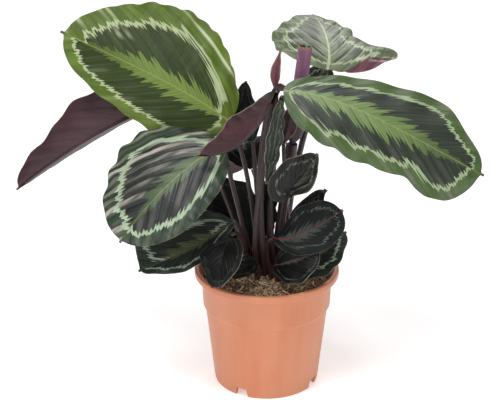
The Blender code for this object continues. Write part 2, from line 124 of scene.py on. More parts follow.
class Finish:
    """A material and the nodes in it."""

    def __init__(self, name):
        self.material = bpy.data.materials.new(name)
        self.material.use_nodes = True
        self.tree = self.material.node_tree
        self.shader = self.tree.nodes["Principled BSDF"]

    def add(self, kind, settings=None, sockets=None):
        node = self.tree.nodes.new(kind)
        for key, value in (settings or {}).items():
            if key == "stops":
                self.set_stops(node.color_ramp, value)
            else:
                setattr(node, key, value)
        for key, value in (sockets or {}).items():
            self.feed(node.inputs[key], value)
        return node

    def feed(self, socket, value):
        if isinstance(value, Signal):
            value = value.socket
        if isinstance(value, bpy.types.NodeSocket):
            self.tree.links.new(value, socket)
        else:
            socket.default_value = value

    def set_stops(self, ramp, stops):
        while len(ramp.elements) < len(stops):
            ramp.elements.new(1.0)
        for element, (place, colour) in zip(ramp.elements, stops):
            element.position = place
            element.color = colour

    def maths(self, how, *terms):
        node = self.add("ShaderNodeMath", {"operation": how}, dict(enumerate(terms)))
        return Signal(self, node.outputs[0])

    def reading(self, name):
        """A number that the mesh carries at each of its points."""
        node = self.add("ShaderNodeAttribute", {"attribute_name": name})
        return Signal(self, node.outputs["Fac"])

    def vector(self, x, y, z):
        return self.add("ShaderNodeCombineXYZ", {}, {"X": x, "Y": y, "Z": z}).outputs[0]

    def grain(self, place, scale=1.0, detail=2.0):
        """Soft random variation round 0.5."""
        node = self.add("ShaderNodeTexNoise", {}, {"Vector": place, "Scale": scale, "Detail": detail})
        return Signal(self, node.outputs["Fac"])

    def dice(self, number):
        """One random number for each whole number."""
        node = self.add("ShaderNodeTexWhiteNoise", {"noise_dimensions": "1D"}, {"W": number})
        return Signal(self, node.outputs["Value"])

    def blend(self, share, first, second):
        """From the first colour to the second."""
        node = self.add("ShaderNodeMix", {"data_type": "RGBA"}, {0: share, 6: first, 7: second})
        return node.outputs[2]

    def bump(self, height, depth):
        node = self.add("ShaderNodeBump", {}, {"Height": height, "Distance": depth, "Strength": 1.0})
        self.feed(self.shader.inputs["Normal"], node.outputs[0])

    def set(self, **sockets):
        for key, value in sockets.items():
            self.feed(self.shader.inputs[key.replace("_", " ")], value)


def tone(red, green, blue):
    """A screen colour, 0 to 255, as the light that a shader needs."""
    parts = []
    for part in (red, green, blue):
        part = part / 255
        parts.append(part / 12.92 if part <= 0.04045 else ((part + 0.055) / 1.055) ** 2.4)
    return (*parts, 1.0)


print("mid grey is", round(tone(128, 128, 128)[0], 3))

# %% [markdown]
# ## Floor and light
# The plant stands on a plain white floor in soft studio light. The floor could be a curved backdrop, but a large
# flat sheet is enough, because the camera looks down and never meets the horizon. Large area lights give soft
# shadows and long highlights on glossy leaves: one over the plant, one at each side towards the camera and a weak
# one from below the lens, so that the purple undersides aren't lost. The world adds a dim even grey.

# %% Floor
FLOOR_SIZE = 12


def clear_selection():
    bpy.ops.object.select_all(action="DESELECT")


clear_selection()
bpy.ops.mesh.primitive_plane_add(size=FLOOR_SIZE, location=(0, 0, 0))
floor = bpy.context.object
floor.name = "studio_floor"
paper = Finish("studio_paper")
speckle = paper.grain(paper.add("ShaderNodeTexCoord").outputs["Object"], 40.0)
paper.set(Base_Color=paper.blend(speckle, tone(252, 252, 252), tone(255, 255, 255)), Roughness=0.9)
paper.shader.inputs["Specular IOR Level"].default_value = 0.0
paper.shader.inputs["Emission Color"].default_value = (1, 1, 1, 1)
paper.shader.inputs["Emission Strength"].default_value = 0.4
floor.data.materials.append(paper.material)
print("floor", FLOOR_SIZE, "m square")

# %% Lights
LIGHTS = (
    # name, place, size, power, aims at
    ("light_above", (-0.3, -0.45, 1.5), 0.75, 12, (0, 0, 0.15)),
    ("light_left", (-1.5, -1.1, 0.8), 0.8, 10, (0, 0, 0.12)),
    ("light_right", (1.5, -1.1, 0.8), 0.8, 9, (0, 0, 0.12)),
    ("light_front", (0.0, -2.0, 0.45), 0.8, 4, (0, 0, 0.08)),
    ("light_back", (0.2, 1.6, 1.3), 0.8, 8, (0, 0, 0.15)),
)


def add_light(name, place, size, power, target):
    data = bpy.data.lights.new(name, "AREA")
    data.shape = "SQUARE"
    data.size = size
    data.energy = power
    lamp = bpy.data.objects.new(name, data)
    lamp.location = place
    lamp.rotation_euler = (Vector(target) - Vector(place)).to_track_quat("-Z", "Y").to_euler()
    bpy.context.collection.objects.link(lamp)


for row in LIGHTS:
    add_light(*row)

world = bpy.data.worlds.new("studio_air")
world.use_nodes = True
world.node_tree.nodes["Background"].inputs["Color"].default_value = (1, 1, 1, 1)
world.node_tree.nodes["Background"].inputs["Strength"].default_value = 0.22
bpy.context.scene.world = world
print(len(LIGHTS), "lights")

# %% [markdown]
# ## The shape of a blade
# A calathea's blade is a thin oval sheet that hangs from a strong midrib. Each blade could be sculpted, but it is
# easier to keep it a plan: one curve for the midrib, the way that its upper side faces at both ends, five half
# widths for each side, and how each half slants and bends. The same plan made the CAD solids, so these finer
# blades lie exactly where the solids are.

# %% Sums for a blade
BLADE_THICK = 0.7 * MM
RIB_BASE = 2.1 * MM
RIB_TIP = 0.5 * MM
TIP_START = 0.98
LEAST_HALF = 1.0 * MM
WIDTH_AT = (0.1, 0.3, 0.5, 0.7, 0.9)


def curve_point(line, share):
    """A place on the midrib, from 0 at the stalk to 1 at the tip."""
    back = 1 - share
    a, b, c, d = line
    return a * back ** 3 + b * 3 * back ** 2 * share + c * 3 * back * share ** 2 + d * share ** 3


def curve_way(line, share):
    """The direction of the midrib there."""
    back = 1 - share
    a, b, c, d = line
    way = (b - a) * back ** 2 + (c - b) * 2 * back * share + (d - c) * share ** 2
    return way.normalized()


def between(values, share):
    """A smooth reading between five half widths, level beyond both ends."""
    padded = (values[0],) + tuple(values) + (values[-1],)
    place = min(max((share - WIDTH_AT[0]) / 0.2, 0.0), 3.999999)
    i = int(place)
    f = place - i
    a, b, c, d = padded[i:i + 4]
    slope = c - a + f * (2 * a - 5 * b + 4 * c - d + f * (3 * (b - c) + d - a))
    return b + 0.5 * f * slope


def half_width(plan, side, share):
    """Half the width of a blade, with rounded ends and a small drip tip."""
    spread = min(max(share / TIP_START, 0.0), 1.0)
    rounding = max(0.0, 1 - abs(2 * spread - 1) ** 3) ** 0.5
    if plan["blunt"] and share > 0.5:
        rounding = 1.0
    return max(rounding * between(plan[side], share) * MM, LEAST_HALF)


def wave_height(plan, side, share, across):
    """How far the margin's waves lift a spot off the blade."""
    count, height, phase = plan["wave"]
    late = 0.35 if side == "right" else 0.0
    fade = min(1.0, 6 * share, 6 * (1 - share))
    swing = math.sin(2 * math.pi * (count * share + phase + late) - 1.2 * across)
    return height * MM * across ** 2.5 * swing * fade


def blade_point(plan, share, across, wide):
    """Place and outward direction of a spot, across from -1 at the left margin to 1 at the right."""
    side = "left" if across < 0 else "right"
    sign = -1.0 if across < 0 else 1.0
    part = abs(across)
    middle = curve_point(plan["line"], share)
    ahead = curve_way(plan["line"], share)
    face = plan["faces"][0].normalized() * (1 - share) + plan["faces"][1].normalized() * share
    up = (face - ahead * face.dot(ahead)).normalized()
    out = ahead.cross(up) * sign
    first, last = plan["fold"][0 if side == "left" else 1]
    start = math.radians(first * (1 - share) + last * share)
    first, last = plan["curl"][0 if side == "left" else 1]
    bend = math.radians(first * (1 - share) + last * share)
    if abs(bend) < 0.0001:
        reach = wide * part * math.cos(start)
        rise = wide * part * math.sin(start)
    else:
        reach = wide / bend * (math.sin(start + bend * part) - math.sin(start))
        rise = wide / bend * (math.cos(start) - math.cos(start + bend * part))
    lean = start + bend * part
    normal = up * math.cos(lean) - out * math.sin(lean)
    wave = wave_height(plan, side, share, part)
    return middle + out * reach + up * rise + normal * wave, normal


print("a blade is", BLADE_THICK * 1000, "mm thick, and up to", RIB_BASE * 1000, "mm more at its midrib")

# %% [markdown]
# ## The plans of the twenty-two leaves
# Each plan holds what was read from the picture for one leaf, in millimetres and degrees. `line` is the midrib,
# `foot` is where the stalk stands in the soil, `rise` are the two handles of the stalk's curve, and `girth` its
# radius at the foot, low down and at the blade. A `blunt` blade ends in a straight cut.

# %% The leaf plans
LEAVES = []


def leaf(name, line, faces, left, right, fold, curl, wave, girth, stop, foot, rise, blunt=False):
    LEAVES.append({
        "name": name,
        "line": [Vector(point) * MM for point in line],
        "faces": [Vector(way) for way in faces],
        "left": left,
        "right": right,
        "fold": fold,
        "curl": curl,
        "wave": wave,
        "foot": foot,
        "rise": [Vector(point) * MM for point in rise],
        "girth": girth,
        "stop": stop,
        "blunt": blunt,
    })


leaf("upper_left", ((-30, 5, 227), (-60, 12, 250), (-111, 36, 266), (-168, 52, 288)),
     faces=((-0.1, -0.8, 0.6), (-0.3, -0.75, 0.6)), left=(55, 46, 42, 38, 36), right=(39, 54, 62, 57, 46),
     fold=((-20, -14), (4, 2)), curl=((-22, -20), (-14, -14)),
     wave=(6, 1.3, 0), girth=(2.6, 2, 1.7), stop=0.9,
     foot=(-5, 8), rise=((-11, 6, 145), (-17, 2, 206)))
leaf("far_left", ((-88, 40, 228), (-127, 50, 211), (-169, 46, 185), (-209, 34, 156)),
     faces=((0.3, 0.9, 0.3), (0.2, 0.95, 0.3)), left=(20, 34, 38, 26, 24), right=(31, 41, 51, 41, 34),
     fold=((30, 40), (50, 50)), curl=((30, 30), (40, 40)),
     wave=(6, 1.3, 0), girth=(2.6, 2, 1.7), stop=0.5,
     foot=(-15, 12), rise=((-26, 24, 137), (-63, 38, 238)))
leaf("mid_left", ((-35, -20, 216), (-61, -36, 211), (-95, -56, 182), (-115, -68, 154)),
     faces=((-0.15, -0.75, 0.65), (-0.25, -0.8, 0.55)), left=(30, 33, 36, 36, 32), right=(45, 58, 61, 53, 47),
     fold=((4, 4), (-8, -8)), curl=((-14, -14), (-20, -20)),
     wave=(6, 1.3, 0), girth=(2.6, 2, 1.7), stop=2.7,
     foot=(-10, 3), rise=((-18, 0, 129), (-33, -12, 201)))
leaf("low_left", ((-27, -12, 147), (-42, -26, 142), (-74, -40, 128), (-103, -44, 118)),
     faces=((-0.1, -0.6, 0.75), (-0.2, -0.7, 0.6)), left=(7, 11, 16, 16, 10), right=(25, 26, 30, 40, 56),
     fold=((4, 4), (4, 4)), curl=((-10, -10), (-10, -10)),
     wave=(6, 1.3, 0), girth=(2.6, 2, 1.7), stop=1,
     foot=(-20, 2), rise=((-16, -6, 114), (-21, -8, 145)))
leaf("rim_left", ((-30, -31, 142), (-35, -46, 142), (-36, -58, 130), (-44, -64, 113)),
     faces=((-0.2, -0.8, 0.55), (-0.4, -0.85, 0.2)), left=(13, 16, 18, 16, 14), right=(5, 12, 18, 16, 12),
     fold=((10, 10), (10, 10)), curl=((0, 0), (0, 0)),
     wave=(3, 1, 0), girth=(2.6, 2, 1.7), stop=1.5,
     foot=(-16, -6), rise=((-17, -12, 131), (-23, -28, 150)))
leaf("centre_arch", ((6, -20, 261), (-3, -32, 240), (-22, -46, 213), (-55, -44, 218)),
     faces=((0.1, 0.95, 0.2), (0, 0.95, 0.2)), left=(12, 16, 21, 18, 16), right=(12, 13, 14, 12, 8),
     fold=((10, 10), (70, 70)), curl=((15, 15), (60, 60)),
     wave=(6, 1.3, 0), girth=(2.6, 2, 1.7), stop=5.2,
     foot=(-7, -6), rise=((-17, -16, 152), (7, -15, 243)))
leaf("rolled", ((20, 2, 210), (20, 0, 230), (25, 0, 256), (28, 2, 290)),
     faces=((0.3, 0.9, 0.2), (0.3, 0.9, 0.2)), left=(26, 24, 17, 16, 15), right=(26, 24, 17, 16, 15),
     fold=((0, 0), (0, 0)), curl=((166, 166), (166, 166)),
     wave=(3, 0.3, 0), girth=(3.2, 4.2, 4.6), stop=0.6, blunt=True,
     foot=(9, 9), rise=((8, 6, 127), (18, 2, 173)))
leaf("right", ((12, -24, 263), (56, -32, 267), (117, -60, 233), (164, -70, 211)),
     faces=((-0.1, -0.55, 0.85), (0.1, -0.65, 0.75)), left=(18, 24, 31, 37, 27), right=(36, 37, 38, 34, 49),
     fold=((6, 6), (-10, -10)), curl=((10, 10), (-24, -24)),
     wave=(6, 1.3, 0), girth=(3.4, 3.2, 3), stop=2.9,
     foot=(0, -4), rise=((-15, -6, 164), (3, 4, 277)))
leaf("top_right", ((48, 22, 265), (54, 44, 275), (48, 84, 284), (40, 118, 283)),
     faces=((0, -0.45, 0.9), (0, 0.3, 1)), left=(33, 44, 46, 39, 29), right=(47, 58, 27, 25, 16),
     fold=((4, 8), (2, -6)), curl=((-6, -6), (-6, -6)),
     wave=(6, 1.3, 0), girth=(2.8, 2.4, 2), stop=2.2,
     foot=(17, 13), rise=((14, 14, 155), (31, 16, 225)))
leaf("behind_right", ((34, 34, 225), (35, 36, 239), (41, 38, 253), (48, 40, 266)),
     faces=((-0.2, -0.9, 0.3), (-0.2, -0.9, 0.3)), left=(12, 14, 14, 12, 8), right=(16, 20, 22, 20, 14),
     fold=((10, 10), (10, 10)), curl=((0, 0), (0, 0)),
     wave=(3, 1, 0), girth=(2.6, 2, 1.7), stop=0.5,
     foot=(14, 22), rise=((15, 24, 142), (29, 30, 202)))
leaf("behind_left", ((-12, 26, 203), (-15, 24, 220), (-20, 24, 239), (-17, 30, 253)),
     faces=((-0.2, -1, 0.3), (0, -1, 0.2)), left=(16, 15, 12, 9, 7), right=(8, 10, 10, 8, 6),
     fold=((10, 10), (10, 10)), curl=((0, 0), (0, 0)),
     wave=(3, 1, 0), girth=(2.6, 2, 1.7), stop=0.5,
     foot=(-1, 17), rise=((-7, 18, 126), (-9, 24, 182)))
leaf("hanging", ((10, -20, 254), (8, -25, 238), (5, -27, 219), (-1, -26, 186)),
     faces=((0.35, -0.9, 0.1), (0.35, -0.9, 0.1)), left=(5, 6, 7, 7, 6), right=(6, 7, 8, 8, 5),
     fold=((10, 10), (10, 10)), curl=((0, 0), (0, 0)),
     wave=(3, 1, 0), girth=(2.6, 2, 1.7), stop=1.7,
     foot=(3, 5), rise=((-2, 6, 167), (17, 12, 262)))
leaf("cupped", ((17, -30, 177), (12, -40, 186), (28, -44, 204), (39, -40, 217)),
     faces=((-0.1, -0.9, 0.3), (-0.1, -0.9, 0.3)), left=(19, 18, 18, 16, 12), right=(7, 10, 16, 24, 12),
     fold=((10, 10), (30, 30)), curl=((20, 20), (40, 40)),
     wave=(3, 1, 0), girth=(2.2, 1.8, 1.5), stop=0.9,
     foot=(9, -5), rise=((13, -2, 117), (14, -8, 168)))
leaf("front_right", ((6, -24, 138), (20, -38, 139), (39, -50, 159), (59, -48, 173)),
     faces=((0, -0.8, 0.6), (0, -0.85, 0.5)), left=(15, 18, 21, 21, 21), right=(10, 15, 19, 20, 20),
     fold=((4, 4), (-4, -4)), curl=((-10, -10), (-20, -20)),
     wave=(3, 1, 0), girth=(2.4, 1.9, 1.6), stop=0.7,
     foot=(4, -10), rise=((-1, -11, 116), (-3, -18, 135)))
leaf("tucked_right", ((24, -14, 141), (36, -20, 139), (36, -22, 162), (47, -18, 178)),
     faces=((0, -0.9, 0.3), (0, -0.9, 0.3)), left=(14, 16, 18, 15, 12), right=(12, 12, 12, 8, 3),
     fold=((10, 10), (10, 10)), curl=((0, 0), (0, 0)),
     wave=(3, 1, 0), girth=(2.2, 1.8, 1.5), stop=2.1,
     foot=(15, -2), rise=((13, -7, 110), (19, -10, 124)))
leaf("soil_right", ((6, -23, 113), (16, -34, 120), (29, -44, 130), (42, -44, 135)),
     faces=((0, -0.8, 0.6), (0, -0.85, 0.5)), left=(10, 12, 12, 11, 8), right=(13, 18, 20, 18, 14),
     fold=((10, 10), (10, 10)), curl=((0, 0), (0, 0)),
     wave=(3, 1, 0), girth=(2.2, 1.8, 1.5), stop=0.5,
     foot=(10, -16), rise=((7, -18, 102), (2, -19, 109)))
leaf("rim_right", ((21, 0, 108), (31, -14, 109), (49, -22, 124), (64, -18, 141)),
     faces=((0.1, -0.75, 0.65), (0.2, -0.75, 0.6)), left=(14, 16, 18, 17, 16), right=(14, 17, 19, 17, 12),
     fold=((10, 10), (10, 10)), curl=((0, 0), (0, 0)),
     wave=(3, 1, 0), girth=(2.2, 1.8, 1.5), stop=1,
     foot=(20, 4), rise=((20, 4, 101), (19, 3, 106)))
leaf("dark_centre", ((-2, 15, 122), (-2, 15, 132), (0, 15, 155), (1, 13, 177)),
     faces=((0.2, -0.9, 0.3), (0.2, -0.9, 0.3)), left=(6, 7, 7, 6, 5), right=(9, 10, 10, 9, 5),
     fold=((10, 10), (10, 10)), curl=((0, 0), (0, 0)),
     wave=(3, 1, 0), girth=(2, 1.7, 1.5), stop=0.4,
     foot=(3, 10), rise=((2, 10, 100), (-1, 14, 110)))
leaf("soil_left", ((-8, -15, 110), (-15, -24, 117), (-22, -31, 115), (-28, -36, 107)),
     faces=((0, -0.75, 0.65), (0, -0.8, 0.55)), left=(8, 10, 10, 9, 7), right=(7, 9, 9, 8, 6),
     fold=((10, 10), (10, 10)), curl=((0, 0), (0, 0)),
     wave=(3, 1, 0), girth=(2, 1.7, 1.5), stop=0.9,
     foot=(-8, -14), rise=((-5, -14, 102), (-6, -14, 106)))
leaf("back_low", ((-7, 24, 109), (-20, 30, 125), (-38, 36, 145), (-48, 42, 165)),
     faces=((0, -0.9, 0.35), (0, -0.9, 0.35)), left=(14, 18, 20, 18, 14), right=(14, 20, 25, 26, 18),
     fold=((10, 10), (10, 10)), curl=((0, 0), (0, 0)),
     wave=(3, 1, 0), girth=(2.2, 1.8, 1.6), stop=0.6,
     foot=(-6, 18), rise=((-5, 20, 96), (-5, 22, 104)))
leaf("back", ((-12, 30, 177), (-20, 48, 205), (-26, 80, 190), (-30, 104, 140)),
     faces=((0, -0.3, 1), (0, 0.5, 0.8)), left=(28, 32, 32, 30, 24), right=(28, 32, 32, 30, 24),
     fold=((10, 10), (10, 10)), curl=((0, 0), (0, 0)),
     wave=(3, 1, 0), girth=(2.6, 2, 1.7), stop=1,
     foot=(8, 20), rise=((3, 22, 126), (-5, 27, 159)))
leaf("spike", ((7, -2, 258), (4, -2, 268), (7, -2, 276), (10, -2, 289)),
     faces=((0.2, 0.9, 0.1), (0.2, 0.9, 0.1)), left=(3, 4, 4, 3, 2), right=(3, 4, 4, 3, 2),
     fold=((10, 10), (10, 10)), curl=((0, 0), (0, 0)),
     wave=(2, 0.5, 0), girth=(2.4, 1.9, 1.6), stop=0.6,
     foot=(7, 1), rise=((-2, 0, 157), (8, -2, 238)))
leaf("sheath", ((13, -7, 214), (16, -8, 226), (19, -8, 237), (19, -7, 247)),
     faces=((0.2, 0.95, 0.1), (0.2, 0.95, 0.1)), left=(5, 7, 7, 6, 4), right=(5, 7, 7, 6, 4),
     fold=((10, 10), (10, 10)), curl=((0, 0), (0, 0)),
     wave=(3, 0.6, 0), girth=(2, 1.7, 1.5), stop=0.6,
     foot=(14, 6), rise=((22, 4, 132), (13, -10, 178)))

print(len(LEAVES), "leaves")

# %% [markdown]
# ## What the pattern follows
# The light feather along the midrib, the dark zone, the jagged pale ring and the green margin all follow the
# blade's own shape. A flat picture can't be used here, so each point of the mesh carries the numbers that the
# finish needs: `vein` says on which lateral vein a spot lies, `mid` how far it is from the midrib and `edge` how
# far from the margin, in millimetres. `inward` is 1 where the ring starts, and `feather` is 1 where the light
# feather ends. `LOOKS` gives each leaf its finish and how wide its feather and its margin are.

# %% How each blade is marked
LOOKS = {
    # name: top finish, underside finish, feather reach, margin share left and right,
    # scallops left (count, depth in mm), scallops right, pleat depth in mm
    "upper_left": ("spring", "plum", 0.2, 0.2, 0.27, (0, 0), (11, 1.6), 0.8),
    "far_left": ("moss", "plum_dark", 0.3, 0.25, 0.25, (0, 0), (0, 0), 0.3),
    "mid_left": ("moss", "plum", 0.17, 0.27, 0.22, (0, 0), (7, 1.6), 0.9),
    "low_left": ("night", "plum", 0.2, 0.25, 0.25, (0, 0), (4, 1.0), 0.3),
    "rim_left": ("coal", "plum", 0.1, 0.2, 0.2, (0, 0), (5, 1.0), 0.15),
    "centre_arch": ("moss", "plum_deep", 0.3, 0.25, 0.25, (0, 0), (0, 0), 0.0),
    "rolled": ("moss", "orchid", 0.3, 0.25, 0.25, (0, 0), (0, 0), 0.0),
    "right": ("grass", "plum", 0.3, 0.22, 0.22, (0, 0), (6, 2.4), 0.6),
    "top_right": ("sage", "plum", 0.2, 0.25, 0.25, (3, 1.5), (6, 2.5), 0.8),
    "behind_right": ("night", "plum", 0.2, 0.25, 0.25, (0, 0), (4, 1.0), 0.3),
    "behind_left": ("coal", "plum", 0.1, 0.3, 0.3, (3, 1.0), (3, 1.0), 0.4),
    "hanging": ("dusk", "plum", 0.1, 0.3, 0.3, (5, 1.5), (5, 1.0), 0.5),
    "cupped": ("slate", "plum", 0.1, 0.3, 0.3, (0, 0), (0, 0), 0.2),
    "front_right": ("ember", "plum", 0.28, 0.24, 0.3, (3, 1.0), (3, 1.0), 0.3),
    "tucked_right": ("coal", "plum", 0.1, 0.3, 0.3, (0, 0), (0, 0), 0.3),
    "soil_right": ("ember", "plum", 0.1, 0.2, 0.12, (0, 0), (3, 0.8), 0.2),
    "rim_right": ("night", "plum", 0.1, 0.25, 0.3, (4, 1.2), (5, 1.4), 0.5),
    "dark_centre": ("coal", "plum", 0.1, 0.3, 0.3, (3, 1.0), (4, 1.5), 0.4),
    "soil_left": ("coal", "plum", 0.1, 0.3, 0.3, (0, 0), (3, 0.8), 0.2),
    "back_low": ("coal", "plum_deep", 0.2, 0.25, 0.25, (4, 1.0), (4, 1.0), 0.3),
    "back": ("coal", "plum_deep", 0.25, 0.25, 0.25, (4, 1.2), (4, 1.2), 0.5),
    "sheath": ("coal", "plum_deep", 0.2, 0.25, 0.25, (0, 0), (0, 0), 0.0),
    "spike": ("sage", "plum", 0.2, 0.25, 0.25, (0, 0), (0, 0), 0.0),
}
SMALL_BLADE = 0.085
VEIN_PITCH = {"large": 12.0, "small": 6.5}
WIDE_PITCH = {"moss": 17.0, "sage": 18.0}
VEIN_SLANT = 1.3
VEIN_SWEEP = 0.6
TIP_HALF = 0.35 * MM
DRY_TIPS = {"cupped": (0.93, 1.5 * MM), "tucked_right": (0.92, 1.8 * MM), "rolled": (0.972, 0)}


def vein_pitch(kind, size):
    """How far apart the lateral veins leave the midrib, in mm."""
    return WIDE_PITCH.get(kind, VEIN_PITCH[size]) if size == "large" else VEIN_PITCH[size]


def midrib_length(plan, steps=24):
    places = [curve_point(plan["line"], i / steps) for i in range(steps + 1)]
    return sum((b - a).length for a, b in zip(places, places[1:]))


def scalloped_width(plan, side, share):
    """Half width with the small bays that the margin has between its veins."""
    count, depth = LOOKS[plan["name"]][5 if side == "left" else 6]
    wide = half_width(plan, side, share)
    fade = min(1.0, 5 * share, 5 * (1 - share))
    bay = 0.5 - 0.5 * math.cos(2 * math.pi * (count * share + 0.3))
    wide -= depth * MM * fade * bay ** 1.6 if count else 0.0
    point = DRY_TIPS.get(plan["name"], (1.0, TIP_HALF))[1]
    least = LEAST_HALF + (point - LEAST_HALF) * max(0.0, share - 0.9) * 10
    return max(min(wide, half_width(plan, side, share)), 0 if plan["blunt"] else least)


def lay_out(plan, length):
    """The blade's flat outline, for reading how far a spot is from the margin."""
    steps = 90
    tree = kdtree.KDTree(2 * (steps + 1))
    for i in range(steps + 1):
        share = i / steps
        for k, (side, sign) in enumerate((("left", -1), ("right", 1))):
            wide = scalloped_width(plan, side, share)
            tree.insert((sign * wide, share * length, 0), 2 * i + k)
    tree.balance()
    return tree


def vein_reading(plan, side, share, mid, length):
    """The lateral vein through a spot, as the length in mm at which it leaves the midrib."""
    broadest = max(plan[side])
    slant = VEIN_SLANT * mid + VEIN_SWEEP * mid * mid / broadest
    return share * length / MM - slant


def feather_reach(plan, side, share):
    """How far the light feather reaches from the midrib, in mm."""
    reach = LOOKS[plan["name"]][2] * half_width(plan, side, share) / MM
    grow = min(1.0, (share + 0.06) / 0.3)
    fade = min(1.0, max(0.0, (0.98 - share) / 0.42))
    return max(reach * grow * fade, 0.4)


def ring_depth(plan, side, share):
    """How far inside the margin the pale ring starts, in mm."""
    portion = LOOKS[plan["name"]][3 if side == "left" else 4]
    widest = sum(plan[side]) / len(plan[side])
    return portion * (0.7 * widest + 0.3 * half_width(plan, side, share) / MM) * 0.9 + 1.0


print("looks for", len(LOOKS), "leaves")

# %% [markdown]
# ## Modelling a blade
# A real blade is one skin with two faces: a patterned top and a purple underside, with the midrib standing out
# below. A flat grid is added as the blank, with one column of faces for each step across. Its points are then
# moved to the plan, because no operator knows a calathea's shape, and shallow pleats are pressed between the
# lateral veins. A Solidify modifier gives the skin its thickness, more of it along the midrib, and puts the
# second and third finish on the underside and the cut edge.

# %% Blank, shape and thickness
def add_blank(name, rows, columns):
    """A flat grid, two units square, with a UV map."""
    clear_selection()
    bpy.ops.mesh.primitive_grid_add(x_subdivisions=columns, y_subdivisions=rows, size=2.0)
    blank = bpy.context.object
    blank.name = name
    blank.data.name = name
    return blank


def apply_all(piece):
    clear_selection()
    piece.select_set(True)
    bpy.context.view_layer.objects.active = piece
    for step in list(piece.modifiers):
        bpy.ops.object.modifier_apply(modifier=step.name)


def row_share(even):
    """Rows lie closer together at both ends of a blade."""
    return 0.6 * even + 0.4 * (0.5 - 0.5 * math.cos(math.pi * even))


def pleat(depth, lateral, mid, edge):
    """Ribs between the lateral veins, which fade at midrib and margin."""
    fade = min(1.0, mid / 7) * min(1.0, edge / 4)
    return depth * MM * (abs(math.sin(math.pi * lateral)) ** 0.8 - 0.5) * fade


READINGS = ("vein", "across", "mid", "edge", "inward", "feather", "along", "dry", "turned")


def read_pattern(plan, number, share, across, wide, length, outline):
    """The numbers that a blade's finish needs at one spot."""
    side = "left" if across < 0 else "right"
    mid = abs(across) * wide / MM
    spot = (across * wide, share * length, 0)
    edge = outline.find(spot)[2] / MM
    vein = vein_reading(plan, side, share, mid, length) + 1000 + 270 * number
    inward = edge / ring_depth(plan, side, share)
    feather = mid / feather_reach(plan, side, share)
    start = DRY_TIPS.get(plan["name"], (0.975, 0))[0]
    turned = folded_strip(plan, side, share, mid, edge)
    return vein, across, mid, edge, inward, feather, share, (share - start) / (1 - start), turned


FOLDED_MARGIN = {"top_right": (15, 54, 10)}


def folded_strip(plan, side, share, mid, edge):
    """How far inside a strip of turned-over margin a spot lies, in mm."""
    first, last, depth = FOLDED_MARGIN.get(plan["name"], (0, 0, 0))
    if side == "left" or not first < mid < last:
        return -5.0
    strip = depth * math.sin(math.pi * (mid - first) / (last - first)) ** 0.7 - edge
    return min(strip, 100 * (0.235 - share))


def shape_blade(blank, plan, number, pitch):
    """Moves a blank's points to the plan and writes the readings on them."""
    length = midrib_length(plan)
    outline = lay_out(plan, length)
    pleats = LOOKS[plan["name"]][7]
    flesh = blank.vertex_groups.new(name="flesh")
    rows = [[] for _ in READINGS]
    thickest = BLADE_THICK + RIB_BASE
    for corner in blank.data.vertices:
        across = math.copysign(abs(corner.co.x) ** 1.2, corner.co.x)
        across = 0.0 if abs(across) < 0.0001 else across
        share = row_share(corner.co.y / 2 + 0.5)
        side = "left" if across < 0 else "right"
        wide = scalloped_width(plan, side, share)
        place, normal = blade_point(plan, share, across, wide)
        found = read_pattern(plan, number, share, across, wide, length, outline)
        for row, value in zip(rows, found):
            row.append(value)
        vein, _, mid, edge = found[:4]
        lateral = vein / pitch + (0.25 if across > 0 else -0.25)
        sunk = 0.5 * MM * min(2.5, max(0.0, found[8]))
        corner.co = place + normal * (BLADE_THICK / 2 + pleat(pleats, lateral, mid, edge) - sunk)
        rib = RIB_TIP + (RIB_BASE - RIB_TIP) * (1 - share) ** 2
        narrow = max(0.0, 1 - mid / (1.2 + 1.6 * (1 - share)))
        flesh.add([corner.index], (BLADE_THICK + rib * narrow) / thickest, "REPLACE")
    for name, row in zip(READINGS, rows):
        layer = blank.data.attributes.new(name, "FLOAT", "POINT")
        layer.data.foreach_set("value", row)
    blank.data.update()


def thicken_blade(blank):
    wall = blank.modifiers.new("flesh", "SOLIDIFY")
    wall.thickness = BLADE_THICK + RIB_BASE
    wall.offset = -1.0
    wall.vertex_group = "flesh"
    wall.material_offset = 1
    wall.material_offset_rim = 2
    apply_all(blank)
    bpy.ops.object.shade_smooth_by_angle(angle=math.radians(60))


def finish_piece(piece, name, node):
    """Names a piece and hangs it on the plant's root, so that it moves with the plant, and hides the CAD node that
    it replaces.
    """
    piece.name = name
    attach(piece, "root")
    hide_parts(node)


print("each spot carries", ", ".join(READINGS))
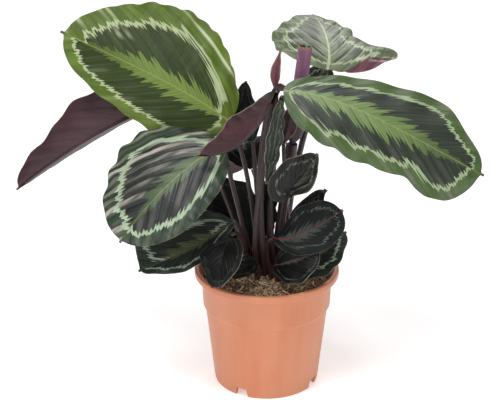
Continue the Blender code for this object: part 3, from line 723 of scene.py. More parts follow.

# %% [markdown]
# ## The top of a blade
# One function paints every top, from a set of tones. It works outwards, as the eye does: dark ground, lateral
# veins, a painted sheen of pale streaks on the flanks of the pleats, which stands for the light's highlights on
# the glossy blade, the light feather with its hair-fine teeth, the green margin, the jagged pale ring and last
# the midrib and the margin's thin line. All teeth run along the lateral veins, because each noise is stretched
# along them. Changing the tones gives the bright young leaves and the almost black ones, whose darkest tones
# partly paint the shade deep in the clump.

# %% Finish for the top side
def add_common(finish, pitch):
    """Readings and noises that all blade finishes share."""
    vein, mid = finish.reading("vein"), finish.reading("mid")
    side = finish.reading("across").sum("SIGN")
    lateral = vein / pitch + side * 0.25
    fine = lateral * 3 + 0.4
    tooth = lateral.sum("FRACT")
    return {
        "vein": vein,
        "mid": mid,
        "edge": finish.reading("edge"),
        "along": finish.reading("along"),
        "tooth": tooth,
        "step": finish.dice(lateral.sum("FLOOR") + side * 37),
        "spear": 1 - (tooth - 0.5).sum("ABSOLUTE") * 2,
        "barb": 1 - (fine.sum("FRACT") - 0.5).sum("ABSOLUTE") * 2,
        "chip": finish.dice(fine.sum("FLOOR") + side * 53),
        "bands": finish.grain(finish.vector(vein * 0.12, mid * 0.012, side * 9 + 120)),
        "hairs": finish.grain(finish.vector(vein * 0.5, mid * 0.03, side * 9)),
        "thorns": finish.grain(finish.vector(vein * 0.45, mid * 0.04, side * 9 + 30)),
        "streaks": finish.grain(finish.vector(vein * 0.2, mid * 0.015, side * 9 + 60)),
        "clouds": finish.grain(finish.vector(vein * 0.05, mid * 0.05, side * 9 + 90)),
    }


def blade_top(name, tones, pitch, fuzz=1.0, ring_wide=0.34, ring_full=1.0, gloss=0.36):
    """A patterned upper side with a painted sheen highlight; fuzz is the length of the feather's teeth."""
    finish = Finish(name)
    part = add_common(finish, pitch)
    tooth, step, hairs = part["tooth"], part["step"], part["hairs"]
    thorns, streaks, clouds = part["thorns"], part["streaks"], part["clouds"]

    spear, barb, chip, bands = part["spear"], part["barb"], part["chip"], part["bands"]
    reach, along = finish.reading("feather"), part["along"]

    colour = finish.blend(bands.rise(0.35, 0.65), tones["dark"], tones["deep"])
    near_vein = (tooth - 0.5).sum("ABSOLUTE").rise(0.3, 0.5)
    colour = finish.blend(near_vein * tones["vein_share"] * clouds.rise(0.3, 0.6), colour, tones["lateral"])
    # Painted highlight: pale streaks on the flanks of the pleats, mostly on the lit half, paint the light's sheen
    # on the glossy blade into its colour.
    away = reach.rise(tones["haze_from"], tones["haze_from"] * 1.7)
    flank = tooth.rise(0.05, 0.3) * tooth.rise(0.8, 0.5) * (step - tones["haze_gaps"]).rise(0.0, 0.3)
    flank = flank.sum("MAXIMUM", tones["haze_flat"])
    lit_half = finish.reading("across").rise(-0.05, 0.05) * 0.88 + 0.12
    sheen = flank * (clouds.rise(0.38, 0.6) * 0.9 + 0.1) * away * lit_half
    colour = finish.blend(sheen * tones["haze_share"], colour, tones["haze"])

    end = 0.4 + spear * (step * 0.7 + 0.2) + barb * chip * 0.7 + (hairs - 0.5) * (0.9 * fuzz)
    glow = (reach / end).rise(1.1, 0.94) * (1 - along.rise(0.5, 0.9) * 0.7)
    light = finish.blend(thorns.rise(0.35, 0.65), tones["feather"], tones["feather_light"])
    colour = finish.blend(glow * tones["feather_share"], colour, light)

    depth = finish.reading("inward") + (step - 0.5) * 0.35 + (spear - 0.5) * 0.2
    outer = (depth + barb * chip * 0.3 - 0.1 + (hairs - 0.5) * 0.3).rise(0.97, 1.03)
    margin = finish.blend(clouds.rise(0.35, 0.65), tones["margin"], tones["margin_light"])
    # The painted sheen highlight runs on over the margin.
    margin = finish.blend(sheen * tones["haze_share"], margin, tones["haze"])
    colour = finish.blend(outer, margin, colour)
    inner = (depth - barb * 0.2 + 0.1 + (thorns - 0.5) * 0.8).rise(1.04 + ring_wide, 0.96 + ring_wide)
    ring = outer * inner * (ring_full + (clouds - 0.5) * 0.8).rise(0.0, 0.75)
    colour = finish.blend(ring, colour, finish.blend(hairs.rise(0.3, 0.7), tones["ring"], tones["ring_light"]))

    rib_wide = (1.25 - along * 0.95) * tones["rib_wide"]
    rib = (part["mid"] / rib_wide).rise(1.0, 0.45)
    colour = finish.blend(rib * tones["rib_share"], colour, tones["rib"])
    line = part["edge"].rise(0.75, 0.3)
    colour = finish.blend(line * tones["line_share"], colour, tones["line"])
    colour = finish.blend(finish.reading("dry").rise(0.0, 0.5) * 0.85, colour, tone(82, 72, 60))

    turned = finish.reading("turned").rise(-0.1, 0.2)
    colour = finish.blend(turned, colour, finish.blend(streaks.rise(0.3, 0.7), tone(92, 56, 66), tone(120, 78, 88)))

    ridges = (part["vein"] * 5.2).sum("SINE") * 0.05 + hairs * 0.25 + near_vein * -0.6 + bands * 1.5
    finish.bump(ridges, 0.0003)
    finish.set(Base_Color=colour, Roughness=gloss + (streaks - 0.5) * 0.2)
    finish.shader.inputs["Specular IOR Level"].default_value = tones["shine"]
    return finish.material


# In each set, the pale streak tone with its share, gaps, spread and start paints the sheen highlight into the
# blade's colour.
TONES = {
    "spring": {
        "dark": tone(39, 50, 20), "deep": tone(50, 63, 26), "lateral": tone(69, 87, 39),
        "feather": tone(96, 115, 54), "feather_light": tone(113, 132, 66), "feather_share": 1.0,
        "margin": tone(75, 94, 32), "margin_light": tone(96, 116, 45),
        "ring": tone(152, 166, 116), "ring_light": tone(172, 181, 144),
        "rib": tone(133, 144, 80), "rib_share": 0.8, "line": tone(116, 124, 69), "line_share": 0.4,
        "haze": tone(200, 207, 172), "haze_share": 0.75,
        "vein_share": 0.45, "haze_flat": 0.0, "rib_wide": 0.8, "haze_gaps": 0.4, "haze_from": 2.2, "shine": 0.18,
    },
    "grass": {
        "dark": tone(31, 40, 29), "deep": tone(40, 49, 37), "lateral": tone(69, 78, 60),
        "feather": tone(89, 113, 60), "feather_light": tone(111, 131, 73), "feather_share": 1.0,
        "margin": tone(58, 77, 38), "margin_light": tone(73, 93, 49),
        "ring": tone(134, 153, 112), "ring_light": tone(155, 169, 133),
        "rib": tone(126, 140, 80), "rib_share": 0.9, "line": tone(104, 112, 83), "line_share": 0.5,
        "haze": tone(118, 110, 108), "haze_share": 0.5,
        "vein_share": 0.45, "haze_flat": 0.0, "rib_wide": 0.9, "haze_gaps": 0.35, "haze_from": 1, "shine": 0.5,
    },
    "moss": {
        "dark": tone(20, 26, 23), "deep": tone(28, 35, 31), "lateral": tone(72, 77, 65),
        "feather": tone(62, 80, 48), "feather_light": tone(86, 104, 68), "feather_share": 0.9,
        "margin": tone(35, 50, 37), "margin_light": tone(48, 64, 45),
        "ring": tone(149, 169, 139), "ring_light": tone(171, 187, 160),
        "rib": tone(113, 131, 68), "rib_share": 0.8, "line": tone(99, 108, 90), "line_share": 0.6,
        "haze": tone(196, 188, 176), "haze_share": 0.8,
        "vein_share": 0.12, "haze_flat": 0.0, "rib_wide": 0.8, "haze_gaps": 0.1, "haze_from": 1, "shine": 0.45,
    },
    "sage": {
        "dark": tone(50, 60, 36), "deep": tone(68, 78, 52), "lateral": tone(140, 151, 121),
        "feather": tone(107, 118, 88), "feather_light": tone(144, 155, 122), "feather_share": 0.7,
        "margin": tone(86, 99, 65), "margin_light": tone(101, 113, 78),
        "ring": tone(155, 169, 131), "ring_light": tone(169, 182, 146),
        "rib": tone(176, 188, 150), "rib_share": 1.0, "line": tone(135, 144, 117), "line_share": 0.5,
        "haze": tone(126, 128, 113), "haze_share": 0.6,
        "vein_share": 0.85, "haze_flat": 0.0, "rib_wide": 1.3, "haze_gaps": 0.1, "haze_from": 1, "shine": 0.5,
    },
    "night": {
        "dark": tone(31, 38, 34), "deep": tone(41, 50, 43), "lateral": tone(50, 59, 50),
        "feather": tone(72, 82, 62), "feather_light": tone(100, 107, 82), "feather_share": 0.7,
        "margin": tone(35, 44, 38), "margin_light": tone(47, 58, 49),
        "ring": tone(126, 144, 126), "ring_light": tone(150, 166, 148),
        "rib": tone(90, 94, 61), "rib_share": 0.7, "line": tone(113, 114, 106), "line_share": 0.7,
        "haze": tone(72, 76, 70), "haze_share": 0.15,
        "vein_share": 0.45, "haze_flat": 0.0, "rib_wide": 0.8, "haze_gaps": 0.3, "haze_from": 1.2, "shine": 0.3,
    },
    # The darkest tones, for the low and back leaves: partly the leaves' own dark green and partly painted shade,
    # for leaves that lie deep in the clump.
    "coal": {
        "dark": tone(11, 13, 12), "deep": tone(16, 19, 17), "lateral": tone(27, 31, 27),
        "feather": tone(31, 35, 29), "feather_light": tone(40, 43, 37), "feather_share": 0.3,
        "margin": tone(18, 21, 19), "margin_light": tone(26, 29, 26),
        "ring": tone(47, 53, 47), "ring_light": tone(65, 71, 63),
        "rib": tone(35, 35, 29), "rib_share": 0.5, "line": tone(69, 69, 65), "line_share": 0.6,
        "haze": tone(40, 42, 37), "haze_share": 0.15,
        "vein_share": 0.25, "haze_flat": 0.0, "rib_wide": 0.8, "haze_gaps": 0.3, "haze_from": 1.2, "shine": 0.12,
    },
    "ember": {
        "dark": tone(11, 13, 12), "deep": tone(15, 18, 16), "lateral": tone(25, 30, 26),
        "feather": tone(46, 52, 48), "feather_light": tone(92, 96, 92), "feather_share": 0.6,
        "margin": tone(13, 17, 15), "margin_light": tone(17, 23, 20),
        "ring": tone(59, 70, 64), "ring_light": tone(80, 89, 82),
        "rib": tone(112, 52, 54), "rib_share": 0.85, "line": tone(75, 71, 67), "line_share": 0.8,
        "haze": tone(34, 39, 36), "haze_share": 0.15,
        "vein_share": 0.25, "haze_flat": 0.0, "rib_wide": 0.55, "haze_gaps": 0.3, "haze_from": 1.2, "shine": 0.15,
    },
}
# Slate: the darkest tones, with a flat painted sheen highlight over the lit half of the blade.
TONES["slate"] = {**TONES["coal"], "haze": tone(78, 79, 70), "haze_share": 0.8, "haze_flat": 0.8,
                  "ring": tone(84, 89, 78), "ring_light": tone(124, 130, 114), "shine": 0.25}
TONES["dusk"] = {**TONES["night"], "ring": tone(76, 86, 76), "ring_light": tone(96, 106, 94)}
TOPS = {
    ("spring", "large"): blade_top("blade_spring", TONES["spring"], VEIN_PITCH["large"], ring_wide=0.32),
    ("grass", "large"): blade_top("blade_grass", TONES["grass"], VEIN_PITCH["large"], fuzz=1.1),
    ("moss", "large"): blade_top("blade_moss", TONES["moss"], WIDE_PITCH["moss"], fuzz=1.3,
                                   ring_wide=0.4),
    ("sage", "large"): blade_top("blade_sage", TONES["sage"], WIDE_PITCH["sage"], fuzz=1.2),
}
for kind, size in (("moss", "small"), ("sage", "small"), ("night", "large"), ("night", "small"),
                   ("coal", "small"), ("slate", "small"), ("coal", "large"), ("ember", "small"),
                   ("dusk", "large"), ("dusk", "small")):
    thin = {"moss": 0.34, "sage": 0.34, "night": 0.34, "dusk": 0.3, "coal": 0.12, "slate": 0.1, "ember": 0.2}[kind]
    TOPS[(kind, size)] = blade_top("blade_%s_%s" % (kind, size), TONES[kind], vein_pitch(kind, size),
                                   fuzz=1.2, ring_wide=thin, ring_full=0.8)
print(len(TOPS), "finishes for the top side")

# %% [markdown]
# ## The underside and the cut edge
# The underside is plum to maroon, smoother than the top and nearly plain. It shows the lateral veins as faint
# darker lines and a darker midrib. The cut edge is a hair line that catches the light, so it has a finish of its
# own.

# %% Finishes for the underside and the edge
def blade_under(name, plum, pale, shadow, pitch, fade=0.2):
    finish = Finish(name)
    part = add_common(finish, pitch)
    colour = finish.blend(part["clouds"].rise(0.3, 0.7), plum, pale)
    near_vein = (part["tooth"] - 0.5).sum("ABSOLUTE").rise(0.4, 0.5)
    colour = finish.blend(near_vein * 0.35, colour, shadow)
    colour = finish.blend(part["streaks"].rise(0.5, 0.75) * 0.3, colour, shadow)
    rib = part["mid"].rise(2.6, 1.2)
    colour = finish.blend(rib * 0.35, colour, shadow)
    colour = finish.blend(part["edge"].rise(1.1, 0.3) * 0.7, colour, tone(150, 140, 120))
    colour = finish.blend(part["along"].rise(fade, 0.02), colour, shadow)
    colour = finish.blend(finish.reading("dry").rise(0.0, 0.5) * 0.85, colour, tone(128, 100, 74))
    finish.bump((part["vein"] * 5.2).sum("SINE") * 0.1 + part["hairs"] * 0.4 - near_vein * 0.5, 0.00018)
    finish.set(Base_Color=colour, Roughness=0.46 + (part["hairs"] - 0.5) * 0.2)
    finish.shader.inputs["Specular IOR Level"].default_value = 0.35
    return finish.material


def blade_edge():
    finish = Finish("blade_edge")
    worn = finish.grain(finish.vector(finish.reading("vein") * 0.3, finish.reading("across"), 0))
    finish.set(Base_Color=finish.blend(worn.rise(0.4, 0.65), tone(96, 84, 70), tone(150, 146, 118)),
               Roughness=0.5)
    return finish.material


UNDERS = {
    "plum": blade_under("under_plum", tone(104, 56, 66), tone(122, 70, 80), tone(72, 38, 46), 9.0),
    # A darker copy of the plum: partly the undersides' own deep maroon and partly painted shade, for undersides
    # that turn down or lie deep in the clump.
    "plum_deep": blade_under("under_plum_shaded", tone(50, 25, 30), tone(74, 37, 44), tone(30, 17, 19), 9.0),
    "plum_dark": blade_under("under_plum_dark", tone(54, 31, 36), tone(68, 40, 46), tone(36, 22, 26), 9.0),
    "orchid": blade_under("under_orchid", tone(112, 74, 98), tone(138, 90, 124), tone(58, 36, 44), 6.0, 0.75),
}
EDGE = blade_edge()
print(len(UNDERS), "finishes for the underside")

# %% Grow the blades
for number, plan in enumerate(LEAVES):
    top, under = LOOKS[plan["name"]][:2]
    size = "large" if midrib_length(plan) > SMALL_BLADE else "small"
    rows, columns = (120, 36) if size == "large" else (56, 24)
    blade = add_blank(plan["name"] + "_blade", rows, columns)
    shape_blade(blade, plan, number, vein_pitch(top, size))
    for finish in (TOPS.get((top, size)) or TOPS[(top, "large")], UNDERS[under], EDGE):
        blade.data.materials.append(finish)
    thicken_blade(blade)
    finish_piece(blade, plan["name"] + "_blade", "leaf_" + plan["name"])
    print(blade.name, size, len(blade.data.polygons), "faces")

# %% [markdown]
# ## Stalks
# Each leaf stands on a smooth round stalk, maroon with long pinkish streaks, that is thickest at the foot, where
# stalks sheathe one another. The pinkish streaks are painted highlights, for the light on the glossy stalk. A
# curve with a bevel would do, but a grid that is rolled up along the stalk's path keeps a clean UV map, so the
# streaks can run along it. The rolled sheet's two long sides are merged, and its ends are filled.

# %% Finish for the stalks
def stalk_finish():
    finish = Finish("stalk_maroon")
    mapped = finish.add("ShaderNodeUVMap").outputs["UV"]
    split = finish.add("ShaderNodeSeparateXYZ", {}, {0: mapped})
    around, along = Signal(finish, split.outputs[0]), Signal(finish, split.outputs[1])
    turn = around * (2 * math.pi)
    ring = finish.vector(turn.sum("COSINE") * 2.2, turn.sum("SINE") * 2.2, along * 2.0)
    wide = finish.grain(ring, 1.0, 2.0)
    fine = finish.grain(finish.vector(turn.sum("COSINE") * 7, turn.sum("SINE") * 7, along * 5), 1.0, 3.0)
    colour = finish.blend(wide.rise(0.35, 0.65), tone(36, 22, 25), tone(58, 34, 37))
    # Painted highlight: long pinkish streaks along the stalk paint the light on its gloss into the colour.
    colour = finish.blend(fine.rise(0.55, 0.75) * 0.6, colour, tone(124, 78, 76))
    colour = finish.blend(along.rise(0.4, 0.1) * 0.6, colour, tone(52, 26, 27))
    finish.bump(fine, 0.0003)
    finish.set(Base_Color=colour, Roughness=0.36 + (wide - 0.5) * 0.3)
    return finish.material


STALK = stalk_finish()

# %% Roll the stalks
STALK_FOOT = 80 * MM
SOIL_TOP = 97
STALK_AROUND = 20
STALK_ALONG = 44


def stalk_girth(plan, share):
    low, middle, high = plan["girth"]
    if share < 0.35:
        return (low + (middle - low) * share / 0.35) * MM
    return (middle + (high - middle) * (share - 0.35) / 0.65) * MM


def stalk_path(plan):
    """The stalk's centre line above the soil, as the four points of a curve."""
    x, y = plan["foot"]
    return [Vector((x, y, SOIL_TOP)) * MM, plan["rise"][0], plan["rise"][1], plan["line"][0]]


def stalk_ring(plan, share):
    """Centre, two directions across and radius; the first tenth stands straight in the soil."""
    path = stalk_path(plan)
    x, y = plan["foot"]
    if share < 0.1:
        height = STALK_FOOT + (SOIL_TOP * MM - STALK_FOOT) * share / 0.1
        centre, way, climb = Vector((x * MM, y * MM, height)), Vector((0, 0, 1)), 0.0
    else:
        climb = (share - 0.1) / 0.9
        centre, way = curve_point(path, climb), curve_way(path, climb)
        way = (way * min(1.0, climb * 8) + Vector((0, 0, 1)) * (1 - min(1.0, climb * 8))).normalized()
        centre = centre - way * plan["stop"] * MM * climb ** 6
    side = way.cross(Vector((0, 1, 0))).normalized()
    return centre, side, way.cross(side), stalk_girth(plan, climb)


def roll_stalk(plan):
    stalk = add_blank(plan["name"] + "_stalk", STALK_ALONG, STALK_AROUND)
    for corner in stalk.data.vertices:
        around, share = corner.co.x / 2 + 0.5, corner.co.y / 2 + 0.5
        centre, side, other, radius = stalk_ring(plan, share)
        turn = 2 * math.pi * around
        radius *= 1 + 0.05 * math.cos(3 * turn + len(plan["name"])) + 0.03 * math.cos(7 * turn)
        corner.co = centre + side * (radius * math.cos(turn)) + other * (radius * math.sin(turn))
    bpy.ops.object.mode_set(mode="EDIT")
    bpy.ops.mesh.select_all(action="SELECT")
    bpy.ops.mesh.remove_doubles(threshold=0.00001)
    bpy.ops.mesh.fill_holes(sides=0)
    bpy.ops.mesh.select_all(action="SELECT")
    bpy.ops.mesh.normals_make_consistent(inside=False)
    bpy.ops.object.mode_set(mode="OBJECT")
    bpy.ops.object.shade_smooth_by_angle(angle=math.radians(50))
    stalk.data.materials.append(STALK)
    return stalk


for plan in LEAVES:
    finish_piece(roll_stalk(plan), plan["name"] + "_stalk", "stalk_" + plan["name"])
print(len(LEAVES), "stalks")

# %% [markdown]
# ## The nursery pot
# The pot is thin moulded plastic: a rounded lip, a straight neck, a small step, a tapering body and a foot with
# four drainage notches. A lathe would spin its section, and so could Blender, but pulling a disc up ring by ring
# is easier to follow: the disc is extruded, moved and resized once for each line of the section, outside first
# and then down the inside, and the wall closes by itself. A Bevel modifier rounds the corners, and the notches
# are cut with a Boolean modifier.

# %% The pot's section
POT_HEIGHT = 102 * MM
LIP_OUT = 60 * MM
LIP_IN = 55.4 * MM
LIP_TALL = 6 * MM
NECK_TOP = 54.2 * MM
NECK_FOOT = 53.0 * MM
STEP_Z = 70 * MM
STEP_LOW = 67.5 * MM
BODY_TOP = 51.0 * MM
BODY_FOOT = 44.2 * MM
FOOT_OUT = 43.4 * MM
FOOT_LINE = 6 * MM
WALL = 1.4 * MM
FLOOR_UP = 7 * MM
PAD = 20 * MM
FOOT_IN = 40.6 * MM
POT_SEGMENTS = 128

POT_SECTION = (
    (PAD, 0.0), (PAD + 7 * MM, FLOOR_UP), (FOOT_IN - 0.6 * MM, FLOOR_UP), (FOOT_IN, 0.0),
    (FOOT_OUT - 0.5 * MM, 0.0), (FOOT_OUT, 0.6 * MM), (BODY_FOOT, FOOT_LINE), (BODY_TOP, STEP_LOW),
    (NECK_FOOT, STEP_Z), (NECK_TOP, POT_HEIGHT - LIP_TALL), (LIP_OUT - 0.6 * MM, POT_HEIGHT - LIP_TALL),
    (LIP_OUT, POT_HEIGHT - LIP_TALL + 1 * MM), (LIP_OUT - 0.1 * MM, POT_HEIGHT - 1.4 * MM),
    (LIP_OUT - 0.6 * MM, POT_HEIGHT - 0.4 * MM), (LIP_OUT - 1.5 * MM, POT_HEIGHT),
    (LIP_IN + 0.8 * MM, POT_HEIGHT - 0.2 * MM), (LIP_IN, POT_HEIGHT - 1.4 * MM),
    (NECK_TOP - WALL, POT_HEIGHT - LIP_TALL - 1 * MM), (NECK_FOOT - WALL, STEP_Z + 1 * MM),
    (BODY_TOP - WALL, STEP_LOW + 0.6 * MM), (BODY_FOOT - WALL, FLOOR_UP + WALL),
    (PAD + 6.2 * MM, FLOOR_UP + WALL), (PAD - 0.6 * MM, WALL),
)


def pull_up(name, section, segments):
    """A disc, extruded and resized ring by ring along a section of (radius, height)."""
    clear_selection()
    radius, height = section[0]
    bpy.ops.mesh.primitive_circle_add(vertices=segments, radius=radius, location=(0, 0, height),
                                      fill_type="NGON")
    piece = bpy.context.object
    piece.name = name
    bpy.ops.object.mode_set(mode="EDIT")
    for next_radius, next_height in section[1:]:
        bpy.ops.mesh.extrude_region_move(TRANSFORM_OT_translate={"value": (0, 0, next_height - height)})
        grow = next_radius / radius
        bpy.ops.transform.resize(value=(grow, grow, 1), center_override=(0, 0, next_height))
        radius, height = next_radius, next_height
    bpy.ops.mesh.select_all(action="SELECT")
    bpy.ops.mesh.normals_make_consistent(inside=False)
    bpy.ops.object.mode_set(mode="OBJECT")
    set_down(piece)
    return piece


def set_down(piece):
    """Puts the object's place into its mesh."""
    clear_selection()
    piece.select_set(True)
    bpy.context.view_layer.objects.active = piece
    bpy.ops.object.transform_apply(location=True, rotation=True, scale=True)


pot = pull_up("nursery_pot", POT_SECTION, POT_SEGMENTS)
rounding = pot.modifiers.new("rounding", "BEVEL")
rounding.width = 0.35 * MM
rounding.segments = 3
rounding.limit_method = "ANGLE"
rounding.angle_limit = math.radians(24)
apply_all(pot)
print("pot:", len(pot.data.polygons), "faces")

# %% Cut the drainage notches
NOTCH_TURN = -28.5
NOTCH_WIDE = 10 * MM
NOTCH_TALL = 8 * MM
NOTCH_DEEP = 10.8 * MM


def add_notch_cutter(turn):
    """A block across the foot, a little narrower at its top."""
    clear_selection()
    middle = (FOOT_IN - 3 * MM + FOOT_OUT + 5 * MM) / 2
    bpy.ops.mesh.primitive_cube_add(size=1, location=(0, middle, 2.8 * MM))
    cutter = bpy.context.object
    bpy.ops.object.mode_set(mode="EDIT")
    bpy.ops.transform.resize(value=(NOTCH_WIDE + 2 * MM, NOTCH_DEEP, 9.6 * MM),
                             center_override=(0, middle, 2.8 * MM))
    bpy.ops.object.mode_set(mode="OBJECT")
    for corner in cutter.data.vertices:
        if corner.co.z > 0:
            corner.co.x *= 0.75
            if corner.co.y > 0:
                corner.co.z += NOTCH_TALL - 7.6 * MM
            else:
                corner.co.z -= 1.0 * MM
    set_down(cutter)
    cutter.data.transform(Matrix.Rotation(math.radians(turn), 4, "Z"))
    return cutter


for i in range(4):
    cutter = add_notch_cutter(NOTCH_TURN + 180 + 90 * i)
    bite = pot.modifiers.new("notch", "BOOLEAN")
    bite.operation = "DIFFERENCE"
    bite.solver = "EXACT"
    bite.object = cutter
    apply_all(pot)
    bpy.data.objects.remove(cutter, do_unlink=True)
bpy.ops.object.shade_smooth_by_angle(angle=math.radians(32))
print("notches cut:", len(pot.data.polygons), "faces")

# %% [markdown]
# ## Moulded plastic
# The pot is cheap coloured plastic: an even terracotta that is a little paler where the mould dragged it, with a
# soft sheen. Long, weak streaks run up the wall, and a very fine bump breaks the highlight. A little dust dulls
# the sheen near the foot.

# %% Finish for the pot
def pot_finish():
    finish = Finish("terracotta_plastic")
    place = finish.add("ShaderNodeTexCoord").outputs["Object"]
    drag = finish.add("ShaderNodeMapping", {}, {"Vector": place, "Scale": (70, 70, 5)}).outputs[0]
    streaks = finish.grain(drag, 1.0, 3.0)
    clouds = finish.grain(place, 22.0, 2.0)
    skin = finish.grain(place, 900.0, 2.0)
    height = Signal(finish, finish.add("ShaderNodeSeparateXYZ", {}, {0: place}).outputs[2])
    colour = finish.blend(streaks.rise(0.3, 0.7), tone(194, 117, 79), tone(201, 128, 92))
    colour = finish.blend(clouds.rise(0.4, 0.7) * 0.5, colour, tone(197, 132, 100))
    dust = height.rise(0.02, 0.0) * clouds.rise(0.35, 0.6)
    colour = finish.blend(dust * 0.4, colour, tone(179, 132, 105))
    finish.bump(skin * 0.6 + streaks * 0.4, 0.00008)
    finish.set(Base_Color=colour, Roughness=0.4 + (clouds - 0.5) * 0.2 + dust * 0.15)
    return finish.material


pot.data.materials.append(pot_finish())
finish_piece(pot, "nursery_pot", "pot")

# %% [markdown]
# ## Soil
# Potting soil is a loose mat: dark crumbs with pale fibres of coir and straw on top. A bumpy surface alone looks
# like rock, so the bed is only the ground. It is pulled up ring by ring inside the pot, and its top is raised
# into a low mound. Crumbs and fibres are each modelled once, as a rough ball and a short four-sided strand, and
# hundreds of bent and turned copies are strewn over it and joined.

# %% The bed of soil
SOIL_EDGE = 90.5 * MM
SOIL_MOUND = 4.5 * MM
SOIL_BUMP = 0.9 * MM
SOIL_RADIUS = 51.9 * MM
SOIL_RINGS = 44
SOIL_SEGMENTS = 144
GAP = 0.3 * MM


def soil_height(x, y):
    """A low mound with rounded lumps, the same as in the CAD model."""
    reach = math.hypot(x, y) / LIP_IN
    lumps = math.sin(x / (7 * MM)) * math.cos(y / (6 * MM) + 0.6)
    lumps += 0.6 * math.sin((x + 0.7 * y) / (4.1 * MM) + 1.3)
    lumps += 0.5 * math.cos((x - 1.2 * y) / (3.3 * MM))
    return SOIL_EDGE + SOIL_MOUND * (1 - reach * reach) + SOIL_BUMP * lumps * 0.6


bed_section = [
    (PAD + 5.8 * MM, FLOOR_UP + WALL + GAP), (BODY_FOOT - WALL - GAP, FLOOR_UP + WALL + GAP),
    (BODY_TOP - WALL - GAP, STEP_LOW + 0.9 * MM), (NECK_FOOT - WALL - GAP, STEP_Z + 1.4 * MM),
    (52.0 * MM, SOIL_EDGE - 2 * MM),
]
for i in range(SOIL_RINGS):
    bed_section.append((SOIL_RADIUS * (1 - i / SOIL_RINGS), SOIL_EDGE))
bed = pull_up("soil_bed", bed_section, SOIL_SEGMENTS)
for corner in bed.data.vertices:
    if corner.co.z > SOIL_EDGE - 0.5 * MM:
        x, y = corner.co.x, corner.co.y
        rough = noise.fractal(Vector((x, y, 0)) * 320, 0.7, 2.0, 3) * 1.1 * MM
        corner.co.z = soil_height(x, y) + rough
clear_selection()
bed.select_set(True)
bpy.context.view_layer.objects.active = bed
bpy.ops.object.shade_smooth()
print("bed of soil:", len(bed.data.polygons), "faces")

# %% Finishes for soil, crumbs and fibres
def soil_finish(name, dark, light, scale):
    finish = Finish(name)
    place = finish.add("ShaderNodeTexCoord").outputs["Object"]
    crumbs = finish.grain(place, scale, 4.0)
    specks = finish.grain(place, scale * 4, 3.0)
    colour = finish.blend(crumbs.rise(0.35, 0.65), dark, light)
    colour = finish.blend(specks.rise(0.6, 0.75) * 0.7, colour, tone(120, 96, 66))
    finish.bump(crumbs + specks * 0.5, 0.0012)
    finish.set(Base_Color=colour, Roughness=0.85 + (specks - 0.5) * 0.2)
    return finish.material


def strand_finish():
    """Each strand carries its own tint, from brown coir to pale straw."""
    finish = Finish("soil_strands")
    tint = finish.reading("tint")
    place = finish.add("ShaderNodeTexCoord").outputs["Object"]
    fleck = finish.grain(place, 1200.0, 2.0)
    brown = finish.blend(fleck, tone(144, 116, 85), tone(194, 164, 125))
    straw = finish.blend(fleck, tone(206, 182, 138), tone(248, 232, 196))
    colour = finish.blend(tint.rise(0.0, 1.0), brown, straw)
    colour = finish.blend(tint.rise(0.0, -0.4), colour, tone(62, 46, 34))
    finish.set(Base_Color=colour, Roughness=0.75 + (fleck - 0.5) * 0.3)
    return finish.material


bed.data.materials.append(soil_finish("soil_ground", tone(80, 60, 45), tone(146, 117, 88), 420.0))
finish_piece(bed, "soil_bed", "soil")
STRANDS = strand_finish()

# %% One strand and one crumb
def add_strand():
    """A four-sided strand, one unit long, cut into four lengths so that it can bend."""
    clear_selection()
    bpy.ops.mesh.primitive_cylinder_add(vertices=4, radius=0.5, depth=0.25, location=(0, 0, -0.375))
    strand = bpy.context.object
    bpy.ops.object.mode_set(mode="EDIT")
    bpy.ops.mesh.select_all(action="DESELECT")
    bpy.ops.object.mode_set(mode="OBJECT")
    for face in strand.data.polygons:
        face.select = face.normal.z > 0.9
    bpy.ops.object.mode_set(mode="EDIT")
    for _ in range(3):
        bpy.ops.mesh.extrude_region_move(TRANSFORM_OT_translate={"value": (0, 0, 0.25)})
    bpy.ops.object.mode_set(mode="OBJECT")
    set_down(strand)
    return strand


def add_crumb():
    """A rough little ball."""
    clear_selection()
    bpy.ops.mesh.primitive_ico_sphere_add(subdivisions=1, radius=0.5, location=(0, 0, 0))
    crumb = bpy.context.object
    for corner in crumb.data.vertices:
        corner.co *= 0.75 + 0.5 * noise.random()
    return crumb


noise.seed_set(7)
strand, crumb = add_strand(), add_crumb()
print("strand:", len(strand.data.polygons), "faces, crumb:", len(crumb.data.polygons), "faces")

# %% Strew them over the bed
STRAND_COUNT = 1500
CRUMB_COUNT = 900
STREW_RADIUS = 50.5 * MM
chance = random.Random(11)


def strew_copy(model, name, fit, tint):
    """A copy with its own mesh; fit moves each point, tint is written on all of them."""
    copy = bpy.data.objects.new(name, model.data.copy())
    bpy.context.collection.objects.link(copy)
    for corner in copy.data.vertices:
        corner.co = fit(corner.co)
    layer = copy.data.attributes.new("tint", "FLOAT", "POINT")
    layer.data.foreach_set("value", [tint] * len(copy.data.vertices))
    return copy


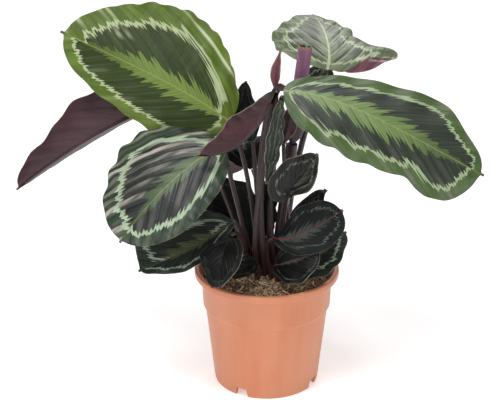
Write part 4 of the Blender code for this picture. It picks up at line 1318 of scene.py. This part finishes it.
def scattered_place():
    radius = STREW_RADIUS * math.sqrt(chance.random())
    turn = chance.uniform(0, 2 * math.pi)
    return radius * math.cos(turn), radius * math.sin(turn)


def lay_strand(i):
    x, y = scattered_place()
    long = chance.uniform(2.0, 9.0) * MM
    thick = chance.uniform(0.18, 0.5) * MM
    pale = 1.3 * chance.random() ** 1.4 - 0.3
    if i % 20 == 0:
        long, thick, pale = 8 * MM, 1.2 * MM, 0.9
    room = max(0.1, (LIP_IN - 2 * MM - math.hypot(x, y)) / (long / 2))
    long *= min(1.0, room)
    turn = chance.uniform(0, math.pi)
    lift = chance.uniform(-0.25, 0.45)
    hook = chance.uniform(-0.9, 0.9)
    arch = chance.uniform(-0.05, 0.3)
    ahead = Vector((math.cos(turn), math.sin(turn), lift)).normalized()
    aside = Vector((-math.sin(turn), math.cos(turn), 0))
    base = Vector((x, y, soil_height(x, y) + chance.uniform(0.0, 1.6) * MM))

    def fit(spot):
        bent = 0.25 - spot.z * spot.z
        place = base + ahead * (spot.z * long) + aside * (bent * hook * long + spot.x * thick)
        return place + Vector((0, 0, bent * arch * long + spot.y * thick * 0.6))

    return strew_copy(strand, "strand_%d" % i, fit, pale)


def lay_crumb(i):
    x, y = scattered_place()
    size = chance.uniform(0.8, 2.8) * MM
    spin = Matrix.Rotation(chance.uniform(0, 6.28), 3, "Z") @ Matrix.Rotation(chance.uniform(0, 6.28), 3, "X")
    base = Vector((x, y, soil_height(x, y) + size * 0.2))
    return strew_copy(crumb, "crumb_%d" % i, lambda spot: base + spin @ spot * size, chance.uniform(-0.5, 0.5))


litter = [lay_crumb(i) for i in range(CRUMB_COUNT)] + [lay_strand(i) for i in range(STRAND_COUNT)]
for model in (strand, crumb):
    bpy.data.objects.remove(model, do_unlink=True)
clear_selection()
for piece in litter:
    piece.select_set(True)
bpy.context.view_layer.objects.active = litter[0]
bpy.ops.object.join()
litter = bpy.context.object
litter.data.materials.clear()
litter.data.materials.append(STRANDS)
finish_piece(litter, "soil_litter", "soil")
print("litter:", len(litter.data.polygons), "faces")
